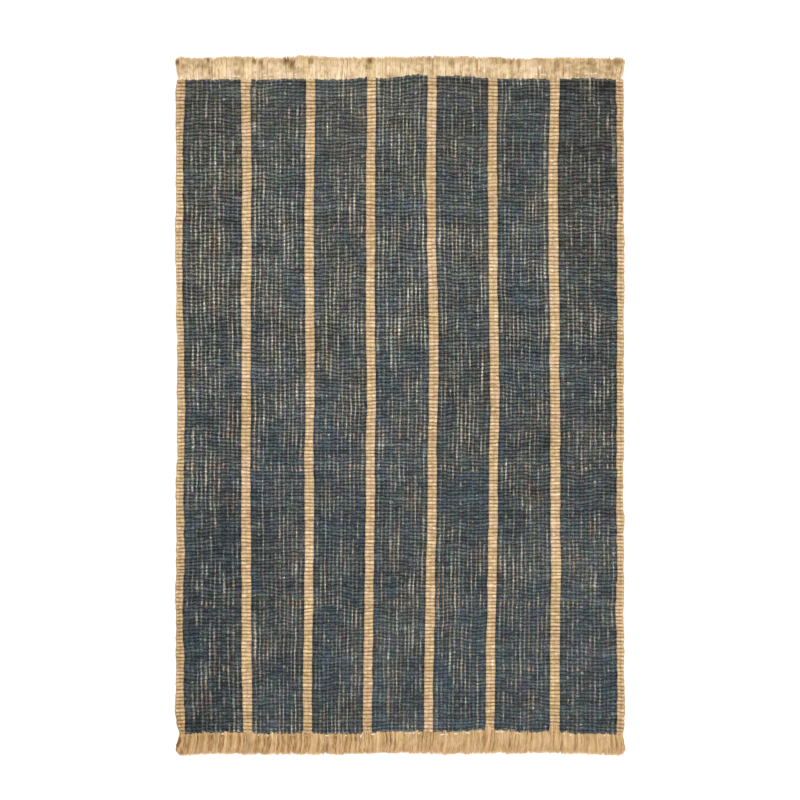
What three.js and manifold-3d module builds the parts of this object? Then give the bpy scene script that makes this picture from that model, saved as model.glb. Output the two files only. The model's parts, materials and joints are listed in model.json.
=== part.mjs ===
// A flat hand-woven jute rug with raised cross ribs, and a brushed jute fringe sewn along each short end.
// Millimetres. X runs across the rug, +Y towards its far end, +Z up, and the rug lies on z = 0.
import * as THREE from 'three';
import { mergeVertices } from 'three/addons/utils/BufferGeometryUtils.js';
import Module from 'manifold-3d';

// Driving sizes
const RUG_WIDTH = 600;
const CLOTH_LENGTH = 878;
const CLOTH_THICKNESS = 6;
const SEAM_GAP = 0.3;

// Cross ribs: each one is a thick weft covered by the warp, with a groove on either side
const RIB_COUNT = 180;
const RIB_DEPTH = 1.4;
const RIB_PROFILE = [
  { part: 0, sink: 1 },
  { part: 0.3, sink: 0 },
  { part: 0.7, sink: 0 },
];
const RIB_SPACING_DRIFT = 2.4;
const RIB_SPACING_TURNS = 1.3;
const RIB_WAVES = [
  { height: 1.1, acrossLength: 520, turnsAlong: 1.7, start: 0 },
  { height: 0.8, acrossLength: 350, turnsAlong: -2.3, start: 0.25 },
];

// Selvedge: the outer warps round off the edge, and each weft turns back in a small scallop
const SELVEDGE_SHOULDER = 6;
const SELVEDGE_CREST_HEIGHT = 3.4;
const SELVEDGE_GROOVE_HEIGHT = 2.4;
const SELVEDGE_SCALLOP = 1.5;
const UNDERSIDE_INSET = 2.5;
const UNDERSIDE_STEP_RIBS = 4;

// How far each seam bows out of its straight line, from the left edge to the right one
const SEAM_BOW = [
  { across: -300, near: 1.3, far: -1.9 },
  { across: -120, near: 0.7, far: -1.9 },
  { across: -40, near: -0.6, far: 1.2 },
  { across: 40, near: -0.9, far: 3.5 },
  { across: 130, near: -2.9, far: 1.3 },
  { across: 300, near: 2.4, far: -1.2 },
];
const BOW_FADE_LENGTH = 120;

// How far each long edge wanders out of its straight line, from the near end to the far one
const EDGE_WANDER = [
  { along: -439, left: -4.8, right: -0.9 },
  { along: -427, left: -1, right: 0.8 },
  { along: -410, left: 0.7, right: 2.2 },
  { along: -347, left: 0.4, right: 0.7 },
  { along: -267, left: 1.3, right: 0.1 },
  { along: -187, left: -0.9, right: 0.3 },
  { along: -106, left: 0.3, right: -1.5 },
  { along: -52, left: -1.9, right: 0 },
  { along: 82, left: -1.6, right: 0.1 },
  { along: 162, left: 0, right: 0.9 },
  { along: 269, left: -0.1, right: 0.5 },
  { along: 350, left: -0.1, right: 0.3 },
  { along: 425, left: 0.3, right: -0.4 },
  { along: 439, left: -2, right: -1.2 },
];

// Fringe: locks of brushed jute, their roots in a narrow woven head that is sewn along the seam
const LOCK_PITCH = 6.4;
const LOCK_STATIONS = [
  { part: 0, swayPart: 0, width: 5.6, height: 4.2 },
  { part: 0.55, swayPart: 0.4, width: 5.4, height: 4 },
  { part: 1, swayPart: 1, width: 3.4, height: 2 },
];
const LOCK_ROOT_DEPTH = 1.2;
const LOCK_LENGTH_SCATTER = 0.9;
const LOCK_SWAY_SCATTER = 0.7;
const LOCK_COMB_WAVES = [
  { sway: 1.3, acrossLength: 230, start: 0.15 },
  { sway: 0.8, acrossLength: 95, start: 0.6 },
];
const CORNER_FLARE_POWER = 10;
const HEAD_WIDTH = 4.5;
const HEAD_HEIGHT = 4.8;

// Where each fringe starts and ends across the rug, and how far its tips reach past the seam's straight line
const FRINGE_ENDS = [
  {
    name: 'fringe_far',
    side: 1,
    series: 1,
    bow: 'far',
    left: -296.5,
    right: 297,
    flareLeft: 5,
    flareRight: 7,
    reach: [
      { across: -300, tip: 28.8 },
      { across: -220, tip: 30.6 },
      { across: -150, tip: 29.4 },
      { across: -125, tip: 31.6 },
      { across: -85, tip: 29.4 },
      { across: 50, tip: 30.4 },
      { across: 150, tip: 28 },
      { across: 300, tip: 28.2 },
    ],
  },
  {
    name: 'fringe_near',
    side: -1,
    series: 2,
    bow: 'near',
    left: -294,
    right: 298,
    flareLeft: 6,
    flareRight: 5,
    reach: [
      { across: -300, tip: 28.8 },
      { across: -250, tip: 27.2 },
      { across: -120, tip: 27.6 },
      { across: -20, tip: 25 },
      { across: 60, tip: 27 },
      { across: 190, tip: 24.4 },
      { across: 300, tip: 27.4 },
    ],
  },
];

// Numbers that spread the locks' lengths and sways without a visible order
const SCATTER = { stride: 12.9898, series: 78.233, spread: 43758.5453 };
const LENGTH_SERIES = 10;
const MERGE_DISTANCE = 1e-4;

const HALF_WIDTH = RUG_WIDTH / 2;
const HALF_LENGTH = CLOTH_LENGTH / 2;

// The value of one column of a table at a place, straight between the table's rows
function valueAt(table, placeColumn, valueColumn, place) {
  const last = table.length - 1;
  const after = table.findIndex((row) => row[placeColumn] > place);
  if (after === 0) return table[0][valueColumn];
  if (after === -1) return table[last][valueColumn];
  const low = table[after - 1];
  const high = table[after];
  const part = (place - low[placeColumn]) / (high[placeColumn] - low[placeColumn]);
  return THREE.MathUtils.lerp(low[valueColumn], high[valueColumn], part);
}

// A number from 0 to 1 that looks random and is the same every time for the same index and series
function scatter(index, series) {
  const wide = Math.sin(index * SCATTER.stride + series * SCATTER.series) * SCATTER.spread;
  return wide - Math.floor(wide);
}

// The place along the rug of a point that lies a number of ribs from the near seam
function alongAt(across, ribs) {
  const part = ribs / RIB_COUNT;
  const straight = (part - 0.5) * CLOTH_LENGTH;
  const inside = 4 * part * (1 - part);
  let place = straight + RIB_SPACING_DRIFT * inside * Math.sin(2 * Math.PI * RIB_SPACING_TURNS * part);
  for (const wave of RIB_WAVES) {
    const turns = across / wave.acrossLength + wave.turnsAlong * part + wave.start;
    place += inside * wave.height * Math.sin(2 * Math.PI * turns);
  }
  const nearFade = Math.max(0, 1 - (straight + HALF_LENGTH) / BOW_FADE_LENGTH);
  const farFade = Math.max(0, 1 - (HALF_LENGTH - straight) / BOW_FADE_LENGTH);
  place -= nearFade * valueAt(SEAM_BOW, 'across', 'near', across);
  place += farFade * valueAt(SEAM_BOW, 'across', 'far', across);
  return place;
}

// A point's place across the rug once the long edges' wander is laid over it
function acrossAt(across, along) {
  const left = -valueAt(EDGE_WANDER, 'along', 'left', along);
  const right = valueAt(EDGE_WANDER, 'along', 'right', along);
  const part = (across + HALF_WIDTH) / RUG_WIDTH;
  return across + THREE.MathUtils.lerp(left, right, part);
}

// The lines across the rug that carry the cloth's points: both edges, both shoulders and the seams' bends
function columnLines() {
  const bends = SEAM_BOW.slice(1, -1).map((row) => row.across);
  const shoulder = HALF_WIDTH - SELVEDGE_SHOULDER;
  return [-HALF_WIDTH, -shoulder, ...bends, shoulder, HALF_WIDTH];
}

// One more point of a mesh, and its index
function addPoint(points, x, y, z) {
  points.push(x, y, z);
  return points.length / 3 - 1;
}

// Two triangles between neighbouring points, facing the way the corners turn
function addQuad(triangles, a, b, c, d) {
  triangles.push(a, b, c, a, c, d);
}

// Triangles between two chains of points that run the same way, the first on the right of the second
function zipChains(triangles, right, left) {
  let i = 0;
  let j = 0;
  while (i < right.length - 1 || j < left.length - 1) {
    const rightPart = (i + 1) / (right.length - 1);
    const leftPart = (j + 1) / (left.length - 1);
    if (j === left.length - 1 || (i < right.length - 1 && rightPart <= leftPart)) {
      triangles.push(right[i], right[i + 1], left[j]);
      i += 1;
    } else {
      triangles.push(right[i], left[j + 1], left[j]);
      j += 1;
    }
  }
}

// The cloth: one closed sheet, ribbed above, flat below, with its scalloped selvedges
function buildCloth() {
  const points = [];
  const triangles = [];
  const lines = columnLines();
  const rowCount = RIB_COUNT * RIB_PROFILE.length + 1;

  const top = [];
  for (let row = 0; row < rowCount; row += 1) {
    const profile = RIB_PROFILE[row % RIB_PROFILE.length];
    const ribs = Math.floor(row / RIB_PROFILE.length) + profile.part;
    const edgeHeight = THREE.MathUtils.lerp(SELVEDGE_CREST_HEIGHT, SELVEDGE_GROOVE_HEIGHT, profile.sink);
    top.push(lines.map((line) => {
      const isEdge = Math.abs(line) === HALF_WIDTH;
      const along = alongAt(line, ribs);
      const scallop = isEdge ? -Math.sign(line) * SELVEDGE_SCALLOP * profile.sink : 0;
      const height = isEdge ? edgeHeight : CLOTH_THICKNESS - RIB_DEPTH * profile.sink;
      return addPoint(points, acrossAt(line, along) + scallop, along, height);
    }));
  }

  // The underside has points only along its rim: every few ribs at the long edges, every line at the ends
  const rimPoint = (line, ribs) => {
    const along = alongAt(line, ribs);
    const inset = Math.abs(line) === HALF_WIDTH ? -Math.sign(line) * UNDERSIDE_INSET : 0;
    return addPoint(points, acrossAt(line, along) + inset, along, 0);
  };
  const nearRim = lines.map((line) => rimPoint(line, 0));
  const farRim = lines.map((line) => rimPoint(line, RIB_COUNT));
  const leftRim = [nearRim[0]];
  const rightRim = [nearRim[nearRim.length - 1]];
  for (let ribs = UNDERSIDE_STEP_RIBS; ribs < RIB_COUNT; ribs += UNDERSIDE_STEP_RIBS) {
    leftRim.push(rimPoint(-HALF_WIDTH, ribs));
    rightRim.push(rimPoint(HALF_WIDTH, ribs));
  }
  leftRim.push(farRim[0]);
  rightRim.push(farRim[farRim.length - 1]);

  const lastLine = lines.length - 1;
  for (let row = 0; row + 1 < rowCount; row += 1) {
    for (let line = 0; line < lastLine; line += 1) {
      addQuad(triangles, top[row][line], top[row][line + 1], top[row + 1][line + 1], top[row + 1][line]);
    }
  }
  const leftTop = top.map((row) => row[0]);
  const rightTop = top.map((row) => row[lastLine]);
  zipChains(triangles, leftTop, leftRim);
  zipChains(triangles, rightRim, rightTop);
  zipChains(triangles, nearRim, top[0]);
  zipChains(triangles, top[rowCount - 1], farRim);

  // The underside is closed from the left rim to the right one, and each end fans out to its own rim
  const lastStep = leftRim.length - 1;
  for (let step = 1; step + 1 < lastStep; step += 1) {
    addQuad(triangles, leftRim[step], leftRim[step + 1], rightRim[step + 1], rightRim[step]);
  }
  zipChains(triangles, [leftRim[1], rightRim[1]], nearRim);
  zipChains(triangles, farRim, [leftRim[lastStep - 1], rightRim[lastStep - 1]]);

  const geometry = new THREE.BufferGeometry();
  geometry.setAttribute('position', new THREE.Float32BufferAttribute(points, 3));
  geometry.setIndex(triangles);
  geometry.computeVertexNormals();
  return geometry;
}

const wasm = await Module();
wasm.setup();

// A closed geometry as a solid that can be joined to another
function toSolid(geometry) {
  const bare = geometry.clone();
  bare.deleteAttribute('normal');
  bare.deleteAttribute('uv');
  const merged = mergeVertices(bare, MERGE_DISTANCE);
  return new wasm.Manifold(new wasm.Mesh({
    numProp: 3,
    vertProperties: new Float32Array(merged.attributes.position.array),
    triVerts: new Uint32Array(merged.index.array),
  }));
}

// A joined solid back as a geometry
function toGeometry(solid) {
  const mesh = solid.getMesh();
  const geometry = new THREE.BufferGeometry();
  geometry.setAttribute('position', new THREE.Float32BufferAttribute(mesh.vertProperties, 3));
  geometry.setIndex(new THREE.Uint32BufferAttribute(mesh.triVerts, 1));
  geometry.computeVertexNormals();
  return geometry;
}

// The line of a seam a set distance outside the cloth's end
function seamAt(end, across, distance) {
  return end.side * (HALF_LENGTH + valueAt(SEAM_BOW, 'across', end.bow, across) + distance);
}

// The fringe's head: a narrow flat band that follows the seam
function buildHead(end) {
  const bends = SEAM_BOW.slice(1, -1).map((row) => row.across);
  const lines = [end.left, ...bends, end.right];
  const inner = lines.map((across) => new THREE.Vector2(across, seamAt(end, across, SEAM_GAP)));
  const outer = lines.map((across) => new THREE.Vector2(across, seamAt(end, across, SEAM_GAP + HEAD_WIDTH)));
  const outline = new THREE.Shape([...inner, ...outer.reverse()]);
  return new THREE.ExtrudeGeometry(outline, { depth: HEAD_HEIGHT, bevelEnabled: false });
}

// One lock: a three-sided strand that lies flat on the floor and narrows to its tip
function buildLock(end, index, across) {
  const width = (end.right - end.left) / 2;
  const fromMiddle = (across - (end.left + end.right) / 2) / width;
  let sway = LOCK_SWAY_SCATTER * (2 * scatter(index, end.series) - 1);
  for (const wave of LOCK_COMB_WAVES) {
    sway += wave.sway * Math.sin(2 * Math.PI * (across / wave.acrossLength + wave.start));
  }
  const flare = fromMiddle < 0 ? -end.flareLeft : end.flareRight;
  sway = sway * (1 - fromMiddle ** CORNER_FLARE_POWER) + flare * Math.abs(fromMiddle) ** CORNER_FLARE_POWER;
  const shortfall = LOCK_LENGTH_SCATTER * scatter(index, end.series + LENGTH_SERIES);
  const tipPlace = valueAt(end.reach, 'across', 'tip', across) - shortfall;
  const rootLine = seamAt(end, across, SEAM_GAP + LOCK_ROOT_DEPTH);
  const tipLine = end.side * (HALF_LENGTH + tipPlace);
  const points = [];
  for (const station of LOCK_STATIONS) {
    const x = across + sway * station.swayPart;
    const y = THREE.MathUtils.lerp(rootLine, tipLine, station.part);
    points.push(x - station.width / 2, y, 0);
    points.push(x + station.width / 2, y, 0);
    points.push(x, y, station.height);
  }
  const triangles = [];
  const last = (LOCK_STATIONS.length - 1) * 3;
  for (let start = 0; start < last; start += 3) {
    for (let corner = 0; corner < 3; corner += 1) {
      const next = (corner + 1) % 3;
      addQuad(triangles, start + corner, start + 3 + corner, start + 3 + next, start + next);
    }
  }
  triangles.push(0, 1, 2);
  triangles.push(last, last + 2, last + 1);
  if (end.side < 0) {
    for (let t = 0; t < triangles.length; t += 3) {
      [triangles[t + 1], triangles[t + 2]] = [triangles[t + 2], triangles[t + 1]];
    }
  }
  const geometry = new THREE.BufferGeometry();
  geometry.setAttribute('position', new THREE.Float32BufferAttribute(points, 3));
  geometry.setIndex(triangles);
  return geometry;
}

// A fringe: the locks side by side, with their roots joined into the head
function buildFringe(end) {
  let fringe = toSolid(buildHead(end));
  const rootWidth = LOCK_STATIONS[0].width;
  const room = end.right - end.left - rootWidth;
  const lockCount = Math.floor(room / LOCK_PITCH) + 1;
  for (let index = 0; index < lockCount; index += 1) {
    const across = end.left + rootWidth / 2 + (room * index) / (lockCount - 1);
    fringe = fringe.add(toSolid(buildLock(end, index, across)));
  }
  return toGeometry(fringe);
}

// The cloth's dyed ground seen from a distance, and undyed brushed jute
const dyedJute = new THREE.MeshStandardMaterial({ color: 0x595b58, roughness: 0.95, metalness: 0 });
const naturalJute = new THREE.MeshStandardMaterial({ color: 0xd8b680, roughness: 0.9, metalness: 0 });

const rug = new THREE.Group();
const cloth = new THREE.Mesh(buildCloth(), dyedJute);
cloth.name = 'rug_cloth';
rug.add(cloth);
for (const end of FRINGE_ENDS) {
  const fringe = new THREE.Mesh(buildFringe(end), naturalJute);
  fringe.name = end.name;
  rug.add(fringe);
}

// The origin is under the middle of the whole rug
const middle = new THREE.Box3().setFromObject(rug, true).getCenter(new THREE.Vector3());
rug.position.set(-middle.x, -middle.y, 0);

export default rug;
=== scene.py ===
# %% [markdown]
# # A flat-woven jute rug with a brushed fringe
# The rug is a thick, dry, hand-woven cloth. Jute yarns run its whole length, side by side. They bend over
# thick cross yarns, so the face is all small bumps that line up in cross ribs. Most of the long yarns are
# dyed a dark blue-grey, unevenly, so that pale undyed streaks show in them. Pairs of undyed yarns make the
# narrow stripes and both edges. A brushed fringe is sewn on along each short end.
# This lesson first loads the measured model, which says how large every part is and where it lies.

# %% Load the measured model
import json
import math

import bmesh
import bpy
import numpy as np
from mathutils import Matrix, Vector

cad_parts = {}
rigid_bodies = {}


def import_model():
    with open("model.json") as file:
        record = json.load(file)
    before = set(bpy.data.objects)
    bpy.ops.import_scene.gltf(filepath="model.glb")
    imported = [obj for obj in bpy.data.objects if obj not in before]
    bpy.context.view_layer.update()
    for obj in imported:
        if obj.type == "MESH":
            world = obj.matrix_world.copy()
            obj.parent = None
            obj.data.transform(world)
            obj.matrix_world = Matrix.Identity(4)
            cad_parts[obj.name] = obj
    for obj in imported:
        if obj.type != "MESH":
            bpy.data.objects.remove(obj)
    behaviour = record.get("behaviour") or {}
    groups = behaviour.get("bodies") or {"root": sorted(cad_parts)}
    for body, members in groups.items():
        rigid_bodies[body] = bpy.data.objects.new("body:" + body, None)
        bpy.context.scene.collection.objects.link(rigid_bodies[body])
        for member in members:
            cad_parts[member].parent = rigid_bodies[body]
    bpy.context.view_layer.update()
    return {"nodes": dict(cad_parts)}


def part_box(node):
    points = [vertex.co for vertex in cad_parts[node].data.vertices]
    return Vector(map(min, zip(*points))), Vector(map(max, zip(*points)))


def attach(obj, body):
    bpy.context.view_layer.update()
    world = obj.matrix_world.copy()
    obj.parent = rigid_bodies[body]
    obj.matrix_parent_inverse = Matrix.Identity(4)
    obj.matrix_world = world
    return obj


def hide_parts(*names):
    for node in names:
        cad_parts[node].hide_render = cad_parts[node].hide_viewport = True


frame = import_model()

print("parts in the model:", sorted(frame["nodes"]))

# %% [markdown]
# ## Sizes
# Single sizes are in metres, and the tables are in millimetres. They are the model's own driving sizes: the
# cloth's width and length, its ribs, and the small unevenness of its seams and long edges, with finer
# unevenness added. Hand-woven cloth is never quite straight, and an outline that wanders by a millimetre or
# two is what makes it look woven rather than cut by a machine.

# %% Sizes of the cloth and its unevenness
RUG_WIDTH = 0.600
CLOTH_LENGTH = 0.878
CLOTH_THICKNESS = 0.006
HALF_WIDTH = RUG_WIDTH / 2
HALF_LENGTH = CLOTH_LENGTH / 2
MM = 0.001

RIB_COUNT = 180
RIB_PITCH = CLOTH_LENGTH / RIB_COUNT
RIB_SPACING_DRIFT = 2.4 * MM
RIB_SPACING_TURNS = 1.3
RIB_WAVES = [
    {"height": 1.1 * MM, "across_length": 0.520, "turns_along": 1.7, "start": 0.0},
    {"height": 0.8 * MM, "across_length": 0.350, "turns_along": -2.3, "start": 0.25},
]
BOW_FADE_LENGTH = 0.120

SEAM_BOW = {
    "across": [-300, -120, -40, 40, 130, 300],
    "near": [1.3, 0.7, -0.6, -0.9, -2.9, 2.4],
    "far": [-1.9, -1.9, 1.2, 3.5, 1.3, -1.2],
}
# Finer unevenness of both ends, measured on the photo and added to the bow
END_DETAIL = {
    "across": [-300, -282, -268, -255, -235, -219, -195, -180, -165, -135, -112, -100, -85, -70, -55,
               -38, -25, -10, 5, 25, 40, 55, 75, 95, 112, 122, 135, 150, 165, 178, 195, 208, 222,
               235, 250, 268, 285, 300],
    "near": [0, -0.4, -1.6, -2.2, -1.9, -1.8, -0.6, 0.2, -0.3, -0.9, 0.4, 1.1, 0.6, 1.2, 1.2, 0.6, -1.2,
             -1.2, -0.9, -1.0, -0.8, 0.3, 0.3, -0.4, -1.9, -1.6, -1.2, -0.5, 0.8, 1.0, -0.6,
             -1.4, -0.6, 0.9, 0.1, -0.6, -0.4, 0.3],
    "far": [0, 0.3, 0.4, 0.5, 1.3, 0.8, 0.0, 0.5, 1.5, 1.6, 0.6, 0.2, -0.6, -1.0, 0.8, 0.2, -1.6,
            -0.5, 1.4, 2.4, 1.6, 0.6, 1.4, 1.4, -0.6, -0.8, -1.2, -0.8, -0.5, -0.5,
            -0.8, -0.8, 0.0, 0.6, 1.1, 1.0, 0.3, 0],
}
DETAIL_FADE_LENGTH = 0.040
EDGE_WANDER = {
    "along": [-439, -427, -410, -347, -267, -187, -106, -52, 82, 162, 269, 350, 425, 439],
    "left": [-4.8, -1, 0.7, 0.4, 1.3, -0.9, 0.3, -1.9, -1.6, 0, -0.1, -0.1, 0.3, -2],
    "right": [-0.9, 0.8, 2.2, 0.7, 0.1, 0.3, -1.5, 0, 0.1, 0.9, 0.5, 0.3, -0.4, -1.2],
}
# Finer unevenness of the long edges
EDGE_DETAIL = {
    "along": [-439, -360, -294, -230, -190, -153, -110, 170, 229, 290, 439],
    "left": [0, -0.3, -1.2, -0.4, 0, 0, 0, 0, 0.7, 0, 0],
    "right": [0, 0, 0, 0, 0.5, 1.0, 0.5, 0, 0, 0, 0],
}

# The model's origin is under the middle of the whole rug, a little off the middle of its woven plan
cloth_low, cloth_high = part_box("rug_cloth")
PLAN_X = cloth_low[0] + HALF_WIDTH + max(EDGE_WANDER["left"]) * MM
PLAN_Y = cloth_low[1] + HALF_LENGTH + SEAM_BOW["near"][-1] * MM
print("the plan's middle lies at", round(PLAN_X, 5), round(PLAN_Y, 5))


def from_table(table, place_column, value_column, place):
    """The value in a table of millimetres at a place in metres, straight between its rows."""
    places = np.array(table[place_column]) * MM
    return np.interp(place, places, np.array(table[value_column]) * MM)


def smooth_noise(seed, x, y):
    """Soft random hills from 0 to 1, one unit apart, the same every time for a seed."""
    size = 256
    lattice = np.random.default_rng(seed).random((size, size))
    x0, y0 = np.floor(x).astype(int), np.floor(y).astype(int)
    part_x, part_y = x - x0, y - y0
    part_x = part_x * part_x * (3 - 2 * part_x)
    part_y = part_y * part_y * (3 - 2 * part_y)
    low = lattice[x0 % size, y0 % size] * (1 - part_x) + lattice[(x0 + 1) % size, y0 % size] * part_x
    y1 = (y0 + 1) % size
    high = lattice[x0 % size, y1] * (1 - part_x) + lattice[(x0 + 1) % size, y1] * part_x
    return low * (1 - part_y) + high * part_y


def along_at(across, ribs):
    """How far along the rug a point lies that is a number of ribs from the near seam."""
    part = ribs / RIB_COUNT
    straight = (part - 0.5) * CLOTH_LENGTH
    inside = 4 * part * (1 - part)
    place = straight + RIB_SPACING_DRIFT * inside * np.sin(2 * math.pi * RIB_SPACING_TURNS * part)
    for wave in RIB_WAVES:
        turns = across / wave["across_length"] + wave["turns_along"] * part + wave["start"]
        place = place + inside * wave["height"] * np.sin(2 * math.pi * turns)
    for end, from_end, outward in (("near", straight + HALF_LENGTH, -1), ("far", HALF_LENGTH - straight, 1)):
        bow_fade = np.clip(1 - from_end / BOW_FADE_LENGTH, 0, 1)
        detail_fade = np.clip(1 - from_end / DETAIL_FADE_LENGTH, 0, 1)
        place = place + outward * bow_fade * from_table(SEAM_BOW, "across", end, across)
        place = place + outward * detail_fade * from_table(END_DETAIL, "across", end, across)
    return place


def bow_at(end, across):
    """How far an end of the cloth lies outside its straight line."""
    return from_table(SEAM_BOW, "across", end, across) + from_table(END_DETAIL, "across", end, across)


# %% [markdown]
# ## The bands of the cloth
# The warp, which is the set of long yarns, is set up as seven dyed panels of twelve yarns each, parted by
# six stripes of two undyed yarns, with two undyed yarns along each edge. The stripes wander a little to
# the left and right along the rug, so a table holds each stripe's middle at 17 places.

# %% The plan of the bands
PANEL_WARPS = 12
STRIPE_WARPS = 2
STRIPE_WIDTHS = {"s1": 12.7, "s2": 12.0, "s3": 11.9, "s4": 12.3, "s5": 12.0, "s6": 12.9}
STRIPE_WIDTH_CHANGE = 0.9
STRIPE_WIDTH_LENGTH = 45 * MM
# Some limits between bands turn aside at the far end: each limit's number, and how many millimetres it moves
STRIPE_FLARE = {3: 2.4, 12: -0.8, 13: 0.6}
STRIPE_FLARE_LENGTH = 16 * MM
# The middle of each stripe, and the inner line of both edges, measured on the photo at 17 places
BAND_TABLE = {
    "along": [-434.6, -381.0, -327.3, -273.7, -220.1, -166.4, -112.8, -59.1, -5.5,
              48.1, 101.8, 155.4, 209.1, 262.7, 316.3, 370.0, 423.6],
    "left": [-287.9, -289.5, -289.1, -290.8, -288.6, -288.7, -290.1, -288.7, -287.5,
             -288.4, -289.5, -291.2, -291.1, -290.2, -290.3, -289.8, -287.4],
    "s1": [-203.8, -204.5, -205.0, -205.5, -205.4, -205.5, -206.0, -206.0, -205.7,
           -205.7, -205.4, -206.2, -204.7, -205.4, -204.4, -205.7, -206.2],
    "s2": [-123.2, -123.4, -123.0, -122.0, -121.5, -120.9, -121.0, -121.4, -120.4,
           -120.1, -120.3, -120.5, -121.3, -121.2, -120.7, -119.6, -118.9],
    "s3": [-43.3, -42.6, -42.0, -41.4, -40.6, -39.7, -39.1, -39.5, -38.0,
           -38.2, -39.1, -39.4, -39.0, -38.9, -38.7, -38.2, -37.7],
    "s4": [38.1, 38.8, 39.7, 40.8, 41.6, 42.8, 43.6, 43.6, 44.9,
           45.4, 45.6, 44.6, 42.8, 42.6, 42.0, 42.4, 43.4],
    "s5": [120.6, 121.8, 121.6, 123.4, 124.1, 125.1, 125.5, 126.0, 127.6,
           127.3, 126.5, 125.3, 125.3, 124.9, 124.2, 124.5, 125.0],
    "s6": [207.6, 208.0, 208.0, 208.6, 209.6, 208.9, 208.5, 208.5, 208.5,
           207.4, 208.1, 207.0, 206.0, 205.9, 205.1, 206.8, 208.1],
    "right": [291.2, 292.1, 290.8, 289.2, 291.6, 290.5, 290.7, 290.3, 291.5,
              290.5, 291.3, 291.3, 291.6, 291.7, 291.5, 290.8, 289.6],
}
SELVEDGE_WIDTH = 10.5 * MM
RIGHT_EDGE_OUT = 0.5 * MM
# How far each line between bands strays, in millimetres, over a few lengths: within the rug and at its edges
LINE_WANDER = {"lengths": [4, 10, 22], "within": [0.05, 0.3, 0.42], "edge": [0.3, 0.5, 0.6]}
EDGE_LINES = (0, 1, 14, 15)
STRAY_SEED = 60
STRIPE_WIDTH_SEED = 5


def stray(along, number):
    """How far the line with this number strays to the right, at places along the rug."""
    amounts = LINE_WANDER["edge" if number in EDGE_LINES else "within"]
    total = along * 0
    for step, (length, amount) in enumerate(zip(LINE_WANDER["lengths"], amounts)):
        hills = smooth_noise(STRAY_SEED + step, along / length / MM, along * 0 + number)
        total = total + amount * MM * (2 * hills - 1)
    return total


def band_limits(along):
    """The places across the rug of all the bands' limits, from the left edge to the right one."""
    left, right = -HALF_WIDTH, HALF_WIDTH + RIGHT_EDGE_OUT
    for table in (EDGE_WANDER, EDGE_DETAIL):
        left = left - from_table(table, "along", "left", along)
        right = right + from_table(table, "along", "right", along)
    limits = [left, from_table(BAND_TABLE, "along", "left", along)]
    for number, (stripe, width) in enumerate(STRIPE_WIDTHS.items()):
        middle = from_table(BAND_TABLE, "along", stripe, along)
        hills = smooth_noise(STRIPE_WIDTH_SEED, along / STRIPE_WIDTH_LENGTH, along * 0 + 3.7 * number)
        change = STRIPE_WIDTH_CHANGE * (hills - 0.5)
        half = (width + change) / 2 * MM
        limits += [middle - half, middle + half]
    limits += [from_table(BAND_TABLE, "along", "right", along), right]
    far_end = np.clip((along - HALF_LENGTH) / STRIPE_FLARE_LENGTH + 1, 0, 1)
    for number, flare in STRIPE_FLARE.items():
        limits[number] = limits[number] + flare * MM * far_end
    return [limit + stray(along, number) for number, limit in enumerate(limits)]


BANDS = [{"name": "selvedge_left", "warps": STRIPE_WARPS, "dyed": False}]
PANEL_COUNT = len(STRIPE_WIDTHS) + 1
for number in range(1, PANEL_COUNT + 1):
    BANDS.append({"name": f"dyed_panel_{number}", "warps": PANEL_WARPS, "dyed": True})
    if number < PANEL_COUNT:
        BANDS.append({"name": f"undyed_stripe_{number}", "warps": STRIPE_WARPS, "dyed": False})
BANDS.append({"name": "selvedge_right", "warps": STRIPE_WARPS, "dyed": False})

first_warp = 0
for number, band in enumerate(BANDS):
    band["limit"] = number
    band["first_warp"] = first_warp
    first_warp += band["warps"]
WARP_COUNT = first_warp
print(len(BANDS), "bands of", WARP_COUNT, "warps")

# %% [markdown]
# ## One bump of the weave
# Where a long yarn passes over a cross yarn it makes one bump, about 6 mm wide and 5 mm long. It could be a
# bit of a sphere, but a small grid is better: its outer points drop into the grooves between the bumps, and
# copies of it join without a gap. The bump is modelled once by moving rows of points down, and two Array
# modifiers repeat it into a band of flat weave.

# %% Model one bump and repeat it
WARP_PITCH = 5.9 * MM
GROOVE_DEPTH = 1.5 * MM
WARP_GAP_DEPTH = {"dyed": 0.35 * MM, "undyed": 0.7 * MM}
BUMP_STEPS = {"dyed": 3, "undyed": 4}
BUMP_RIM = 0.1 * RIB_PITCH
JOIN_DISTANCE = 1e-6


def deselect_all():
    """Leaves nothing selected, because an operator acts on all that is."""
    if bpy.context.object and bpy.context.object.mode != "OBJECT":
        bpy.ops.object.mode_set(mode="OBJECT")
    bpy.ops.object.select_all(action="DESELECT")


def edit_all():
    """Opens the active piece in edit mode with all of it selected."""
    bpy.ops.object.mode_set(mode="EDIT")
    bpy.ops.mesh.select_all(action="SELECT")


def face_outwards():
    """Turns all faces of the piece in edit mode outwards and leaves edit mode."""
    bpy.ops.mesh.select_all(action="SELECT")
    bpy.ops.mesh.normals_make_consistent(inside=False)
    bpy.ops.object.mode_set(mode="OBJECT")


def select_points(piece, wanted):
    """Selects the points of a piece in edit mode whose place passes a test."""
    mesh = bmesh.from_edit_mesh(piece.data)
    for point in mesh.verts:
        point.select_set(bool(wanted(point.co)))
    mesh.select_flush(True)
    bmesh.update_edit_mesh(piece.data)


def repeat(piece, count, step):
    """Repeats a piece in a row and joins each copy to the next one."""
    array = piece.modifiers.new("row", "ARRAY")
    array.count = count
    array.use_relative_offset = False
    array.use_constant_offset = True
    array.constant_offset_displace = step
    array.use_merge_vertices = True
    array.merge_threshold = JOIN_DISTANCE
    bpy.ops.object.modifier_apply(modifier=array.name)


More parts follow.
